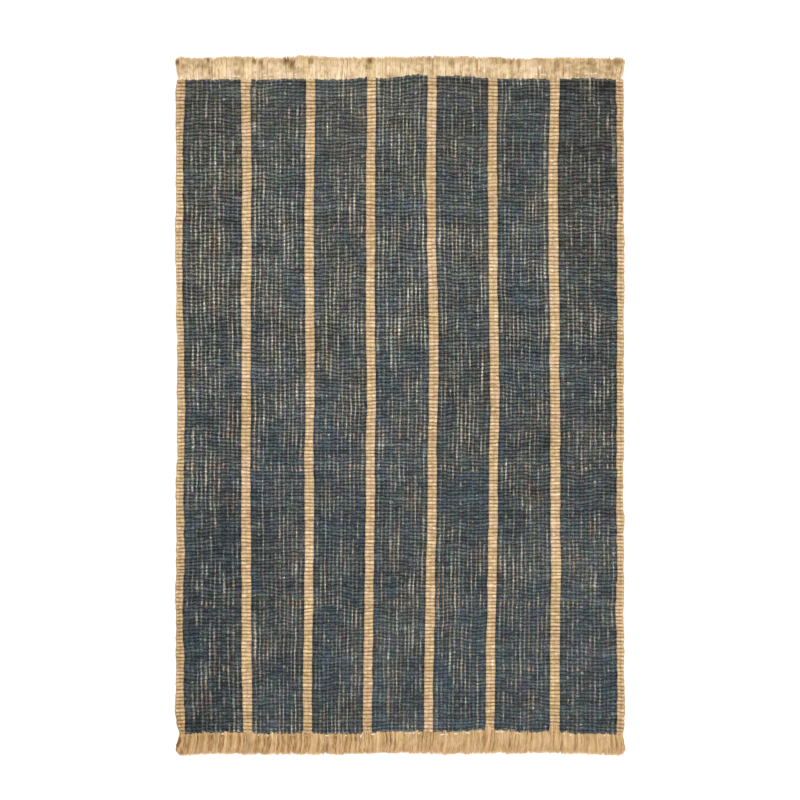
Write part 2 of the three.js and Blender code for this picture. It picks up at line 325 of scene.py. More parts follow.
def make_weave(kind, warps):
    """A flat band of weave: one bump, repeated for each warp and each rib."""
    deselect_all()
    middle = (WARP_PITCH / 2, RIB_PITCH / 2, 0)
    bpy.ops.mesh.primitive_grid_add(x_subdivisions=BUMP_STEPS[kind], y_subdivisions=BUMP_STEPS[kind],
                                    size=RIB_PITCH, location=middle)
    weave = bpy.context.object
    bpy.ops.object.transform_apply(location=True)
    edit_all()
    bpy.ops.transform.resize(value=(WARP_PITCH / RIB_PITCH, 1, 1), center_override=middle)
    select_points(weave, lambda co: min(co.y, RIB_PITCH - co.y) < BUMP_RIM)
    bpy.ops.transform.translate(value=(0, 0, -GROOVE_DEPTH))
    select_points(weave, lambda co: min(co.x, WARP_PITCH - co.x) < BUMP_RIM)
    bpy.ops.transform.translate(value=(0, 0, -WARP_GAP_DEPTH[kind]))
    bpy.ops.object.mode_set(mode="OBJECT")
    repeat(weave, warps, (WARP_PITCH, 0, 0))
    repeat(weave, RIB_COUNT, (0, RIB_PITCH, 0))
    print("the flat", kind, "weave has", len(weave.data.polygons), "faces")
    return weave


flat_dyed = make_weave("dyed", PANEL_WARPS)
flat_undyed = make_weave("undyed", STRIPE_WARPS)

# %% [markdown]
# ## Laying the bands
# Each band is a copy of the flat weave whose points move to their real places: between the band's limits,
# along the wavy ribs, and a little up or down from bump to bump. That could be done with a lattice or by
# sculpting, but the unevenness has to be the same in every band, so it is worked out in code from each
# point's place in the weave. That place, counted in warps and ribs, is also kept on the mesh as an
# attribute, and the materials later draw the yarns with it.

# %% Lay one band
UNDERSIDE = 0.0
SELVEDGE_EDGE_HEIGHT = 2.6 * MM
SELVEDGE_ROUND = 4.0 * MM
SELVEDGE_SCALLOP = 0.8 * MM
SCALLOP_MEAN = 0.6
# How far the ribs slant down to the left edge and to the right one, in ribs
SELVEDGE_SLANT = {-1: 0.03, 1: 0.08}
UNDERSIDE_INSET = 1.6 * MM
UNDYED_OVERLAP = 0.15 * MM
# The dark groove between a stripe and the first yarn of a panel
EDGE_GAP = 2.5 * MM
# How ribs and warps waver: how far, and over how many warps and ribs
RIB_WAVE = {"size": 1.8 * MM, "seed": 11, "warps": 4.5, "ribs": 8}
FINE_RIB_WAVE = {
    "dyed": {"size": 1.0 * MM, "seed": 12, "warps": 1.6, "ribs": 1},
    "undyed": {"size": 0.45 * MM, "seed": 12, "warps": 1.6, "ribs": 1},
}
WARP_WAVE = {"size": 0.7 * MM, "seed": 13, "warps": 2.2, "ribs": 18}
FINE_WARP_WAVE = {"size": 0.2 * MM, "seed": 15, "warps": 1, "ribs": 2}
STRAIGHT_END_RIBS = 3
BUMP_SEED = 14
BUMP_SCATTER = 0.3 * MM
DEPTH_SCATTER = 0.5


def points_of(mesh):
    """The points of a mesh as an array."""
    values = np.empty(len(mesh.vertices) * 3, np.float32)
    mesh.vertices.foreach_get("co", values)
    return values.reshape(-1, 3).astype(float)


def set_points(mesh, points):
    """Moves the points of a mesh to the places in an array."""
    mesh.vertices.foreach_set("co", points.astype(np.float32).ravel())
    mesh.update()


def wander(seed, x, y):
    """Soft random hills from -1 to 1."""
    return smooth_noise(seed, x, y) * 2 - 1


def waver(wave, warp, ribs):
    """How far a wave moves the points at these warps and ribs."""
    return wave["size"] * wander(wave["seed"], warp / wave["warps"], ribs / wave["ribs"])


def lay_band(band):
    """A copy of the flat weave in its real place, open below."""
    kind, flat = ("dyed", flat_dyed) if band["dyed"] else ("undyed", flat_undyed)
    piece = bpy.data.objects.new(band["name"], flat.data.copy())
    bpy.context.collection.objects.link(piece)
    points = points_of(piece.data)
    local = points[:, 0] / WARP_PITCH
    ribs = points[:, 1] / RIB_PITCH
    warp = local + band["first_warp"]
    side = {"selvedge_left": -1, "selvedge_right": 1}.get(band["name"], 0)
    weave = np.stack([warp, ribs, np.zeros_like(warp)], axis=1).astype(np.float32)
    piece.data.attributes.new("weave", "FLOAT_VECTOR", "POINT").data.foreach_set("vector", weave.ravel())

    inside = np.clip(np.minimum(ribs, RIB_COUNT - ribs) / STRAIGHT_END_RIBS, 0, 1)
    middle_warp = band["first_warp"] + band["warps"] / 2
    wave_warp = warp if band["dyed"] else middle_warp + 0.5 * (warp - middle_warp)
    along = along_at((warp / WARP_COUNT - 0.5) * RUG_WIDTH, ribs)
    along = along + inside * waver(RIB_WAVE, wave_warp, ribs)
    along = along + inside * waver(FINE_RIB_WAVE[kind], warp, ribs)
    limits = band_limits(along)
    left, right = limits[band["limit"]], limits[band["limit"] + 1]
    if not band["dyed"]:
        left = left - UNDYED_OVERLAP * (side >= 0)
        right = right + UNDYED_OVERLAP * (side <= 0)
    share = local / band["warps"]
    if band["dyed"]:
        inner = (local > 0.1) & (local < band["warps"] - 0.1)
        share = np.where(inner, 0.5 + (share - 0.5) * (1 - 2 * EDGE_GAP / (right - left)), share)
    across = left + (right - left) * share
    free = np.clip(np.minimum(local, band["warps"] - local), 0, 1)
    across = across + free * (waver(WARP_WAVE, warp, ribs) + waver(FINE_WARP_WAVE, warp, ribs))

    bump = wander(BUMP_SEED, np.floor(warp * 0.999) * 1.37, np.floor(ribs * 0.999) * 1.61)
    height = CLOTH_THICKNESS + points[:, 2] * (1 + DEPTH_SCATTER * bump) + BUMP_SCATTER * bump / 2
    if side:
        outward = (local if side > 0 else STRIPE_WARPS - local) / STRIPE_WARPS
        in_from_edge = (1 - outward) * SELVEDGE_WIDTH / SELVEDGE_ROUND
        round_off = np.sqrt(np.clip(1 - (1 - np.clip(in_from_edge, 0, 1)) ** 2, 0, 1))
        height = SELVEDGE_EDGE_HEIGHT + (height - SELVEDGE_EDGE_HEIGHT) * round_off
        lobe = np.abs(np.sin(math.pi * ribs)) - SCALLOP_MEAN
        across = across + side * SELVEDGE_SCALLOP * lobe * (outward > 0.99)
        along = along - SELVEDGE_SLANT[side] * RIB_PITCH * (outward - 0.5) * inside
    set_points(piece.data, np.stack([across + PLAN_X, along + PLAN_Y, height], axis=1))
    return piece, side


# %% [markdown]
# A band of weave is still an open skin. Its rim is extruded down and pressed flat onto the floor, and the
# loop that is left is filled with one face, so the band is a closed body that rests on its underside.

# %% Close and smooth the bands
BUMP_SMOOTHING = math.radians(70)


def close_below(piece, side):
    """Extrudes the rim of a laid band down to the floor and fills the underside."""
    deselect_all()
    bpy.context.view_layer.objects.active = piece
    piece.select_set(True)
    bpy.ops.object.mode_set(mode="EDIT")
    bpy.ops.mesh.select_mode(type="EDGE")
    bpy.ops.mesh.select_all(action="DESELECT")
    bpy.ops.mesh.select_non_manifold()
    bpy.ops.mesh.extrude_region_move(TRANSFORM_OT_translate={"value": (0, 0, -CLOTH_THICKNESS / 2)})
    bpy.ops.transform.resize(value=(1, 1, 0), center_override=(0, 0, UNDERSIDE))
    bpy.ops.mesh.edge_face_add()
    face_outwards()
    if side:
        points = points_of(piece.data)
        low = points[:, 2] < UNDERSIDE + 0.1 * MM
        middle = points[:, 0].mean()
        outer = (points[:, 0] - middle) * side > 0
        points[low & outer, 0] -= side * UNDERSIDE_INSET
        set_points(piece.data, points)
    bpy.ops.object.shade_smooth_by_angle(angle=BUMP_SMOOTHING)


for band in BANDS:
    band["piece"], band_side = lay_band(band)
    close_below(band["piece"], band_side)
for flat in (flat_dyed, flat_undyed):
    bpy.data.objects.remove(flat, do_unlink=True)
print("laid", len(BANDS), "bands;", sum(len(band["piece"].data.polygons) for band in BANDS), "faces")

# %% [markdown]
# ## Uneven dye
# The dark yarns were dyed in hanks, and the dye didn't reach everywhere. Each yarn shows paler lengths, from
# one bump to a dozen, and they gather in patches where a whole bundle stayed paler. Painting this by hand
# would take thousands of strokes, so each yarn gets a soft random line of its own, and where that line rises
# above a limit the yarn is undyed. The limit changes along each panel, as the photo shows more streaks in
# some places than in others. A few ribs also have rows of tan specks.

# %% Work out the pale streaks
# The limit above which a yarn is undyed, along each panel: where it is low there are more pale streaks.
# A scratch script fitted these values to the photo's brightness. report.md says which rule that breaks.
STREAK_START = {
    "ribs": [0, 6, 14, 34, 56, 78, 100, 122, 144, 166, 180],
    "dyed_panel_1": [0.53, 0.50, 0.48, 0.50, 0.49, 0.49, 0.46, 0.47, 0.50, 0.55, 0.57],
    "dyed_panel_2": [0.51, 0.49, 0.47, 0.57, 0.50, 0.41, 0.46, 0.43, 0.40, 0.53, 0.55],
    "dyed_panel_3": [0.52, 0.50, 0.47, 0.41, 0.47, 0.45, 0.50, 0.44, 0.54, 0.53, 0.56],
    "dyed_panel_4": [0.49, 0.46, 0.45, 0.54, 0.47, 0.46, 0.42, 0.35, 0.37, 0.44, 0.47],
    "dyed_panel_5": [0.52, 0.49, 0.47, 0.47, 0.50, 0.52, 0.53, 0.43, 0.47, 0.56, 0.58],
    "dyed_panel_6": [0.52, 0.50, 0.48, 0.48, 0.50, 0.54, 0.44, 0.46, 0.50, 0.45, 0.47],
    "dyed_panel_7": [0.58, 0.55, 0.53, 0.55, 0.59, 0.59, 0.51, 0.58, 0.59, 0.59, 0.61],
}
# The two outermost yarns of a panel have fewer streaks
OUTERMOST_SHIFT = 0.06
# How far a yarn's line rises above the limit until the yarn is wholly undyed, and how softly that starts
STREAK_RISE = 0.375
STREAK_SOFTNESS = 1.15
# The random lines that add up to a yarn's own: each one's share, and its hills per warp and per rib
STREAK_LAYERS = {
    "own": {"share": 0.34, "seed": 23, "per_warp": 7.31, "per_rib": 1 / 4.5},
    "short": {"share": 0.24, "seed": 24, "per_warp": 3.77, "per_rib": 1 / 1.5},
    "patch": {"share": 0.26, "seed": 21, "per_warp": 1 / 4, "per_rib": 1 / 8},
    "wide": {"share": 0.16, "seed": 22, "per_warp": 1 / 13, "per_rib": 1 / 21},
    "habit": {"share": 0.16, "seed": 25, "per_warp": 5.13, "per_rib": 1},
}
# Single undyed bumps stand where a fine random pattern rises above this limit
DOTS = {"seed": 27, "per_warp": 11.3, "per_rib": 1 / 0.8}
DOT_START = 0.89
DOT_EDGE = 12
DOT_STRENGTH = 0.8
# A few ribs in which tan specks gather, and the share of the yarns that show one
SPECK_ROWS = {17.7: 0.22, 35.5: 0.5, 73.1: 0.6, 82.0: 0.28, 138.4: 0.28}
SPECK_SEED = 28
SPECK_TINT = 0.86
SPECK_LEAST = 0.3
# The undyed streaks are warmer at the near end than at the far one
TINT_SHIFT = {"ribs": [0, 60, 120, 180], "shift": [0.14, 0.04, 0.0, -0.12]}
TINT_LAYER = {"seed": 41, "per_warp": 6.1, "per_rib": 1 / 4}


def hills(layer, warps, ribs):
    """Soft random hills from 0 to 1 over the weave."""
    return smooth_noise(layer["seed"], warps * layer["per_warp"], ribs * layer["per_rib"])


def streak_layer(name, warps, ribs):
    """One of the random lines, as strong as its share."""
    return STREAK_LAYERS[name]["share"] * hills(STREAK_LAYERS[name], warps, ribs)


def badly_dyed(warps, ribs):
    """The two wide layers: the dye took badly over patches of a few yarns."""
    return streak_layer("patch", warps, ribs) + streak_layer("wide", warps, ribs)


def row_specks(warps, ribs):
    """How much of a speck each warp shows at each step along the rug, from 0 to 1."""
    specks = ribs * 0
    for number, (rib, share) in enumerate(SPECK_ROWS.items()):
        chosen = smooth_noise(SPECK_SEED, warps, ribs * 0 + number) < share
        specks = np.maximum(specks, chosen * np.clip(1.8 - 2 * np.abs(ribs - rib), 0, 1))
    return specks


def streaks(band, warps, ribs):
    """How undyed each warp of a panel is, from 0 to 1, at each step along the rug."""
    start = np.interp(ribs, STREAK_START["ribs"], STREAK_START[band["name"]])
    first, last = band["first_warp"], band["first_warp"] + band["warps"] - 1
    start = start + OUTERMOST_SHIFT * ((warps == first) | (warps == last))
    level = streak_layer("own", warps, ribs) + streak_layer("short", warps, ribs)
    level = level + badly_dyed(warps, ribs) + streak_layer("habit", warps, ribs * 0 + 3)
    amount = np.clip((level - start) / STREAK_RISE, 0, 1) ** STREAK_SOFTNESS
    dots = np.clip((hills(DOTS, warps, ribs) - DOT_START) * DOT_EDGE, 0, 1)
    return np.clip(amount + DOT_STRENGTH * (dots + row_specks(warps, ribs)), 0, 1)


# %% [markdown]
# Every bump is also a little lighter or darker than the next, and some ribs are so from edge to edge.
# Over a whole band the lightness changes slowly.

# %% Work out how light each bump is
TONE_LAYERS = {
    "ribs": {"share": 0.18, "seed": 31, "per_warp": 1 / 16, "per_rib": 1.9},
    "patches": {"share": 0.27, "seed": 32, "per_warp": 1 / 9, "per_rib": 1 / 10},
    "bumps": {"share": 0.55, "seed": 33, "per_warp": 2.3, "per_rib": 2.7},
}
# The ribs that are clearly lighter or darker than their neighbours, and the smaller chance changes between
RIB_LIGHT = {169.3: 0.05, 163.4: 0.045, 159.5: -0.05, 147.7: 0.045, 141.0: -0.045, 138.0: 0.055,
             133.5: -0.05, 105.0: -0.05, 101.0: 0.065, 66.3: -0.045, 63.6: 0.05, 61.0: -0.045,
             56.4: 0.045, 23.4: 0.05}
RIB_LIGHT_WIDTH = 1.1
CHANCE_LIGHT = 0.14
CHANCE_LAYER = {"seed": 30, "per_warp": 1 / 16, "per_rib": 1 / 1.5}
# How light each band is along the rug, in ribs from the near end: 1 is the yarn's usual lightness.
# A scratch script fitted the dyed panels' values to the photo too.
BAND_LIGHT = {
    "ribs": [0, 6, 14, 34, 56, 78, 100, 122, 144, 166, 180],
    "dyed_panel_1": [0.87, 0.88, 0.89, 0.91, 0.92, 1.00, 0.93, 0.99, 0.92, 0.97, 1.01],
    "dyed_panel_2": [0.99, 0.96, 0.95, 0.90, 0.96, 0.98, 0.98, 1.00, 0.98, 0.98, 0.97],
    "dyed_panel_3": [0.96, 0.95, 0.95, 0.95, 0.91, 0.95, 0.98, 1.02, 1.03, 1.05, 1.06],
    "dyed_panel_4": [0.99, 0.97, 0.96, 1.01, 0.96, 1.03, 0.99, 0.97, 1.09, 1.00, 0.98],
    "dyed_panel_5": [0.98, 1.00, 1.00, 0.96, 0.95, 0.97, 0.90, 1.00, 1.08, 0.96, 0.93],
    "dyed_panel_6": [0.97, 0.96, 0.94, 1.02, 0.94, 1.00, 0.95, 0.98, 0.97, 0.98, 0.95],
    "dyed_panel_7": [0.92, 0.94, 0.97, 1.07, 1.01, 0.95, 0.97, 0.95, 0.97, 0.90, 0.86],
    "selvedge_left": [0.86, 0.88, 0.90, 0.90, 0.92, 0.95, 0.98, 1.00, 1.00, 0.98, 0.94],
    "selvedge_right": [0.92, 0.95, 0.97, 1.02, 1.03, 1.02, 1.02, 1.01, 0.98, 0.92, 0.90],
    "undyed_stripe_3": [0.84, 0.89, 0.93, 0.99, 1.01, 1.01, 1.01, 1.02, 1.01, 1.00, 0.97],
    "undyed_stripe_5": [0.96, 0.97, 0.98, 1.00, 1.00, 1.00, 1.00, 1.01, 1.00, 0.99, 0.96],
    "undyed_stripe_4": [1.00, 0.98, 0.98, 1.00, 1.00, 0.99, 0.99, 1.00, 1.00, 1.00, 0.94],
    "others": [0.91, 0.94, 0.97, 0.99, 1.00, 1.00, 1.00, 1.01, 1.00, 0.99, 0.96],
}
LIGHT_GAIN = {"dyed": 2.0, "undyed": 3.2}


def tones(warps, ribs):
    """How light or dark each warp is at each step along the rug, 0.5 being the middle."""
    total = ribs * 0
    for name, layer in TONE_LAYERS.items():
        steps = ribs if name == "patches" else np.floor(ribs)
        total = total + layer["share"] * hills(layer, warps, steps)
    return total


def rib_light(warps, ribs):
    """How much lighter or darker the ribs are than their neighbours, from rug edge to rug edge."""
    light = CHANCE_LIGHT * (hills(CHANCE_LAYER, warps, ribs) - 0.5)
    for rib, amount in RIB_LIGHT.items():
        light = light + amount * np.exp(-((ribs - rib) / RIB_LIGHT_WIDTH) ** 2)
    return light


def band_tone(band, warps, ribs):
    """The tone of a band's bumps, with the slow change along the band."""
    light = np.interp(ribs, BAND_LIGHT["ribs"], BAND_LIGHT.get(band["name"], BAND_LIGHT["others"])) - 1
    if band["dyed"]:
        return tones(warps, ribs) + LIGHT_GAIN["dyed"] * (light + rib_light(warps, ribs))
    return tones(warps, ribs) + LIGHT_GAIN["undyed"] * light


# %% [markdown]
# The dye is worked out once for each face, from the warp and the part of a rib that the face lies in. It is
# written onto the corners of the faces as a colour attribute, so that it changes sharply from one yarn to
# the next. Its four numbers say how undyed the yarn is, its tint, how light or dark it is as a whole, and
# how pale the dye is around it.

# %% Store the dye on the faces
def store_dye(band):
    """Writes the dye of a band onto the corners of its faces."""
    mesh = band["piece"].data
    face_count = len(mesh.polygons)
    sizes = np.empty(face_count, np.int32)
    mesh.polygons.foreach_get("loop_total", sizes)
    corners = np.empty(len(mesh.loops), np.int32)
    mesh.loops.foreach_get("vertex_index", corners)
    weave = np.empty(len(mesh.vertices) * 3, np.float32)
    mesh.attributes["weave"].data.foreach_get("vector", weave)
    weave = weave.reshape(-1, 3)[corners]
    face_of_corner = np.repeat(np.arange(face_count), sizes)
    middle_warp, middle_rib = (np.bincount(face_of_corner, weave[:, axis]) / sizes for axis in (0, 1))
    steps = BUMP_STEPS["dyed" if band["dyed"] else "undyed"]
    warp = np.clip(np.floor(middle_warp), band["first_warp"], band["first_warp"] + band["warps"] - 1)
    rib = (np.floor(middle_rib * steps) + 0.5) / steps
    undyed = streaks(band, warp, rib) if band["dyed"] else np.ones(face_count)
    tint = hills(TINT_LAYER, warp, rib) + np.interp(rib, TINT_SHIFT["ribs"], TINT_SHIFT["shift"])
    tint = np.where(row_specks(warp, rib) > SPECK_LEAST, SPECK_TINT, tint)
    pale_around = badly_dyed(warp, rib) / (STREAK_LAYERS["patch"]["share"] + STREAK_LAYERS["wide"]["share"])
    colours = np.stack([undyed, tint, band_tone(band, warp, rib), pale_around], axis=1).astype(np.float32)
    store = mesh.color_attributes.new("dye", "FLOAT_COLOR", "CORNER")
    store.data.foreach_set("color", colours[face_of_corner].ravel())


for band in BANDS:
    store_dye(band)
print("stored the dye of", len(BANDS), "bands")

# %% [markdown]
# ## Materials
# Every material here is drawn with nodes, so that it stays sharp at any distance. A few helpers keep the
# node trees readable: each adds one node and gives back its output, and takes numbers or other outputs.

# %% Helpers for node trees
def new_material(name):
    """An empty node material with its shader, and the tree it lives in."""
    material = bpy.data.materials.new(name)
    material.use_nodes = True
    tree = material.node_tree
    shader = tree.nodes["Principled BSDF"]
    return material, tree, shader


def plug(tree, socket, value):
    """Gives an input a number, a colour or another node's output."""
    if isinstance(value, bpy.types.NodeSocket):
        tree.links.new(value, socket)
    else:
        socket.default_value = value


def calc(tree, operation, *values, clamp=False):
    """A Math node."""
    node = tree.nodes.new("ShaderNodeMath")
    node.operation = operation
    node.use_clamp = clamp
    for socket, value in zip(node.inputs, values):
        plug(tree, socket, value)
    return node.outputs[0]


def scaled(tree, value, gain, offset):
    """A number times a gain, plus an offset."""
    return calc(tree, "ADD", calc(tree, "MULTIPLY", value, gain), offset)


def off_middle(tree, value, gain):
    """How far a number lies from one half, times a gain."""
    return calc(tree, "MULTIPLY", calc(tree, "SUBTRACT", value, 0.5), gain)


def blend(tree, amount, first, second, kind="MIX"):
    """A Mix node for colours."""
    node = tree.nodes.new("ShaderNodeMix")
    node.data_type = "RGBA"
    node.blend_type = kind
    plug(tree, node.inputs["Factor"], amount)
    plug(tree, node.inputs[6], first)
    plug(tree, node.inputs[7], second)
    return node.outputs[2]


def times(tree, first, second):
    """One colour multiplied by another."""
    return blend(tree, 1.0, first, second, "MULTIPLY")


def noise(tree, vector, scale, detail=2.0, stretch=None):
    """A Noise node, its pattern stretched along the axes where that is asked for."""
    if stretch:
        mapping = tree.nodes.new("ShaderNodeMapping")
        plug(tree, mapping.inputs["Vector"], vector)
        mapping.inputs["Scale"].default_value = stretch
        vector = mapping.outputs[0]
    node = tree.nodes.new("ShaderNodeTexNoise")
    plug(tree, node.inputs["Vector"], vector)
    node.inputs["Scale"].default_value = scale
    node.inputs["Detail"].default_value = detail
    return node.outputs["Fac"]


def ramp(tree, amount, stops):
    """A Color Ramp node with stops of (place, colour)."""
    node = tree.nodes.new("ShaderNodeValToRGB")
    plug(tree, node.inputs[0], amount)
    entries = node.color_ramp.elements
    while len(entries) < len(stops):
        entries.new(0.5)
    for entry, (place, colour) in zip(entries, stops):
        entry.position = place
        entry.color = colour
    return node.outputs[0]


def split(tree, kind, value):
    """The node that takes a vector (XYZ) or a colour (Color) apart, as its three outputs."""
    node = tree.nodes.new("ShaderNodeSeparate" + kind)
    plug(tree, node.inputs[0], value)
    return node.outputs[:3]


def object_place(tree):
    """Where a point lies in the rug."""
    return tree.nodes.new("ShaderNodeTexCoord").outputs["Object"]


def attribute(tree, name):
    """The node that reads an attribute of the mesh."""
    node = tree.nodes.new("ShaderNodeAttribute")
    node.attribute_name = name
    return node


def set_surface(tree, shader, colour, roughness, shine):
    """The colour of a surface, how rough it is, and how much it shines."""
    plug(tree, shader.inputs["Base Color"], colour)
    shader.inputs["Roughness"].default_value = roughness
    shader.inputs["Specular IOR Level"].default_value = shine


def add_relief(tree, shader, height, strength, distance):
    """A Bump node that raises the surface by a pattern."""
    bump = tree.nodes.new("ShaderNodeBump")
    bump.inputs["Strength"].default_value = strength
    bump.inputs["Distance"].default_value = distance
    plug(tree, bump.inputs["Height"], height)
    plug(tree, shader.inputs["Normal"], bump.outputs[0])


def rgb(red, green, blue):
    """A colour from the usual 0 to 255 screen values, made linear as Blender wants it."""
    def linear(value):
        part = value / 255
        return part / 12.92 if part <= 0.04045 else ((part + 0.055) / 1.055) ** 2.4
    return (linear(red), linear(green), linear(blue), 1.0)


# %% [markdown]
# ### Woven yarn
# Both yarns are drawn in the same way. The weave attribute counts warps and ribs, so the fraction of each
# number says where in a bump a point lies. From that come a painted highlight on the crown of each yarn
# and painted shade in the hole where four bumps meet. Thin stretched noise adds the fibres. The dyed yarn
# mixes its dark dye with undyed jute by the dye attribute, most of all on the crown, where the yarn faces
# up:
# the undyed core shows there, and the yarn's sides are kept dark as painted shade.

# %% Find a point's place in its bump
def grey(tree, value):
    """A grey colour from one number."""
    node = tree.nodes.new("ShaderNodeCombineColor")
    for socket in node.inputs:
        plug(tree, socket, value)
    return node.outputs[0]


def warm_shade(tree, value, powers=(1.0, 1.17, 1.5)):
    """A lighter or darker light on jute: in the shade, light bouncing within the jute makes it browner."""
    node = tree.nodes.new("ShaderNodeCombineColor")
    for socket, power in zip(node.inputs, powers):
        plug(tree, socket, calc(tree, "POWER", value, power))
    return node.outputs[0]


# The random patterns on the yarns: how often each one repeats per warp and per rib, and how fine it is
YARN_PATTERNS = {
    "warp sway": ((1.7, 0.07, 1.0), 1.0),
    "rib sway": ((1.1, 0.9, 1.0), 2.0),
    "holes": ((0.16, 0.7, 1.0), 2.0),
    "ribs": ((0.55, 1.2, 1.0), 1.0),
    "fibres": ((12.0, 2.0, 1.0), 4.0),
    "flecks": ((4.0, 3.4, 1.0), 2.0),
    "patches": ((1.8, 0.9, 1.0), 2.0),
    "groove shade patches": ((0.4, 0.3, 1.0), 2.0),
    "streak widths": ((3.1, 0.25, 1.0), 1.0),
}
WARP_SWAY = 0.7


def pattern(tree, weave, name):
    """One of the random patterns on the yarns."""
    stretch, detail = YARN_PATTERNS[name]
    return noise(tree, weave, 1.0, detail, stretch)


def crown(tree, place, sway):
    """How near the crown of its rib or warp a point lies, from 0 in the groove to 1."""
    part = calc(tree, "FRACT", calc(tree, "ADD", place, sway))
    return calc(tree, "SINE", calc(tree, "MULTIPLY", part, math.pi))


def yarn_parts(tree, rib_sway):
    """Where a point lies in its bump: its place in the weave, and its crowns across warp and rib."""
    weave = attribute(tree, "weave").outputs["Vector"]
    across, along, _ = split(tree, "XYZ", weave)
    warp_crown = crown(tree, across, off_middle(tree, pattern(tree, weave, "warp sway"), WARP_SWAY))
    rib_crown = crown(tree, along, off_middle(tree, pattern(tree, weave, "rib sway"), rib_sway))
    return weave, warp_crown, rib_crown


def read_dye(tree):
    """The four numbers of the dye attribute: undyed, tint, tone and how pale the dye is around."""
    dye = attribute(tree, "dye")
    return list(split(tree, "Color", dye.outputs["Color"])) + [dye.outputs["Alpha"]]


# %% [markdown]
# The shade of a bump is painted into its colour. It adds up from its rib's crown, its warp's crown and the
# light left in the hole beside it: painted shade in the grooves and holes, and a painted highlight on the
# crowns. How deep this painted groove shade looks changes from place to place.

# %% Shade the bumps
# The crown's usual height, around which strength makes the painted groove shade and the bump relief stronger
# or weaker
RIB_MEAN = 0.53
YARN_ROUGHNESS = 0.95
YARN_SHINE = 0.2


def finish_yarn(tree, shader, colour, parts, levels, to_colour, strength):
    """Paints shade into the colour of the bumps: painted shade in the grooves and holes, and a painted
    highlight on the crowns. It also adds fibres and relief, and sets the dry, rough surface of jute.
    levels holds how bright the painted hole shade, the rib's line and the warp's line are, how narrow the
    lines are, and how strong the flecks. to_colour makes a colour of the shade, plain grey or warm. strength
    is how deep the grooves between the ribs look, in their painted shade and in their bump relief."""
    weave, warp_crown, rib_crown = parts
    rib_line = calc(tree, "SUBTRACT", calc(tree, "POWER", rib_crown, levels["rib_power"]), RIB_MEAN)
    rib_line = scaled(tree, rib_line, strength, RIB_MEAN)
    warp_line = calc(tree, "POWER", warp_crown, levels["warp_power"])
    hole = calc(tree, "MULTIPLY", scaled(tree, pattern(tree, weave, "holes"), 1.5, 0.25), levels["hole"])
    rib_gain = calc(tree, "MULTIPLY", scaled(tree, pattern(tree, weave, "ribs"), 1.3, 0.35), levels["rib"])
    # Painted shade and highlight: darkest in the holes and grooves, lightest where the rib and warp crowns
    # meet
    shade = scaled(tree, rib_line, rib_gain, scaled(tree, warp_line, levels["warp"], hole))
    fibres = pattern(tree, weave, "fibres")
    shade = calc(tree, "MULTIPLY", shade, scaled(tree, fibres, 0.7, 0.65))
    flecks = scaled(tree, pattern(tree, weave, "flecks"), levels["flecks"], 1 - levels["flecks"] / 2)
    shade = calc(tree, "MULTIPLY", shade, flecks)
    set_surface(tree, shader, times(tree, colour, to_colour(tree, shade)), YARN_ROUGHNESS, YARN_SHINE)
    relief = scaled(tree, rib_line, 0.5, scaled(tree, warp_line, 0.3, calc(tree, "MULTIPLY", fibres, 0.35)))
    add_relief(tree, shader, relief, 0.6, 1.0 * MM)


# %% [markdown]
# The undyed yarn is rosier in some places and yellower in others. The dyed yarn is dark blue-grey, a little
# bluer where the dye took well, and its pale streaks are narrow lines along the crown of a warp: partly the
# undyed core, and partly painted shade that keeps the yarn's sides dark.

# %% Draw the undyed yarn and the dyed one
ROSY_COLOURS = [(0.1, rgb(183, 144, 108)), (0.55, rgb(229, 197, 161)), (0.8, rgb(246, 221, 189))]
YELLOW_COLOURS = [(0.1, rgb(179, 146, 101)), (0.55, rgb(226, 198, 151)), (0.8, rgb(246, 222, 177))]


def make_undyed_yarn(name, levels):
    """Natural jute, warm and light, a little different from bump to bump."""
    material, tree, shader = new_material(name)
    parts = yarn_parts(tree, 0.5)
    weave = parts[0]
    tone = read_dye(tree)[2]
    mixed = scaled(tree, tone, 0.5, calc(tree, "MULTIPLY", pattern(tree, weave, "patches"), 0.6))
    rosy, yellow = ramp(tree, mixed, ROSY_COLOURS), ramp(tree, mixed, YELLOW_COLOURS)
    which = ramp(tree, noise(tree, object_place(tree), 45.0), [(0.36, (0, 0, 0, 1)), (0.64, (1, 1, 1, 1))])
    # Patches where the painted shade in the grooves, and their bump relief, is stronger or weaker
    strength = scaled(tree, pattern(tree, weave, "groove shade patches"), 2.2, -0.2)
    finish_yarn(tree, shader, blend(tree, which, rosy, yellow), parts, levels, warm_shade, strength)
    return material


# How strong the grooves' painted shade and bump relief are from the near end to the far one: weaker towards
# the near end
RIB_STRENGTH = [(0.0, 0.68), (0.1, 0.74), (0.22, 0.85), (0.35, 0.98), (0.5, 1.06), (0.6, 1.16), (0.85, 1.12),
                (0.97, 0.95)]
DYE_DEPTH = [(0.25, (0.91, 1.0, 1.07, 1)), (0.5, (1, 1, 1, 1)), (0.75, (1.09, 1.01, 0.93, 1))]
DARK_COLOURS = [(0.25, rgb(90, 98, 101)), (0.5, rgb(97, 102, 103)), (0.75, rgb(101, 102, 98))]
PALE_COLOURS = [(0.12, rgb(190, 197, 168)), (0.32, rgb(206, 208, 194)), (0.5, rgb(220, 214, 198)),
                (0.74, rgb(220, 206, 180)), (0.92, rgb(186, 150, 122))]


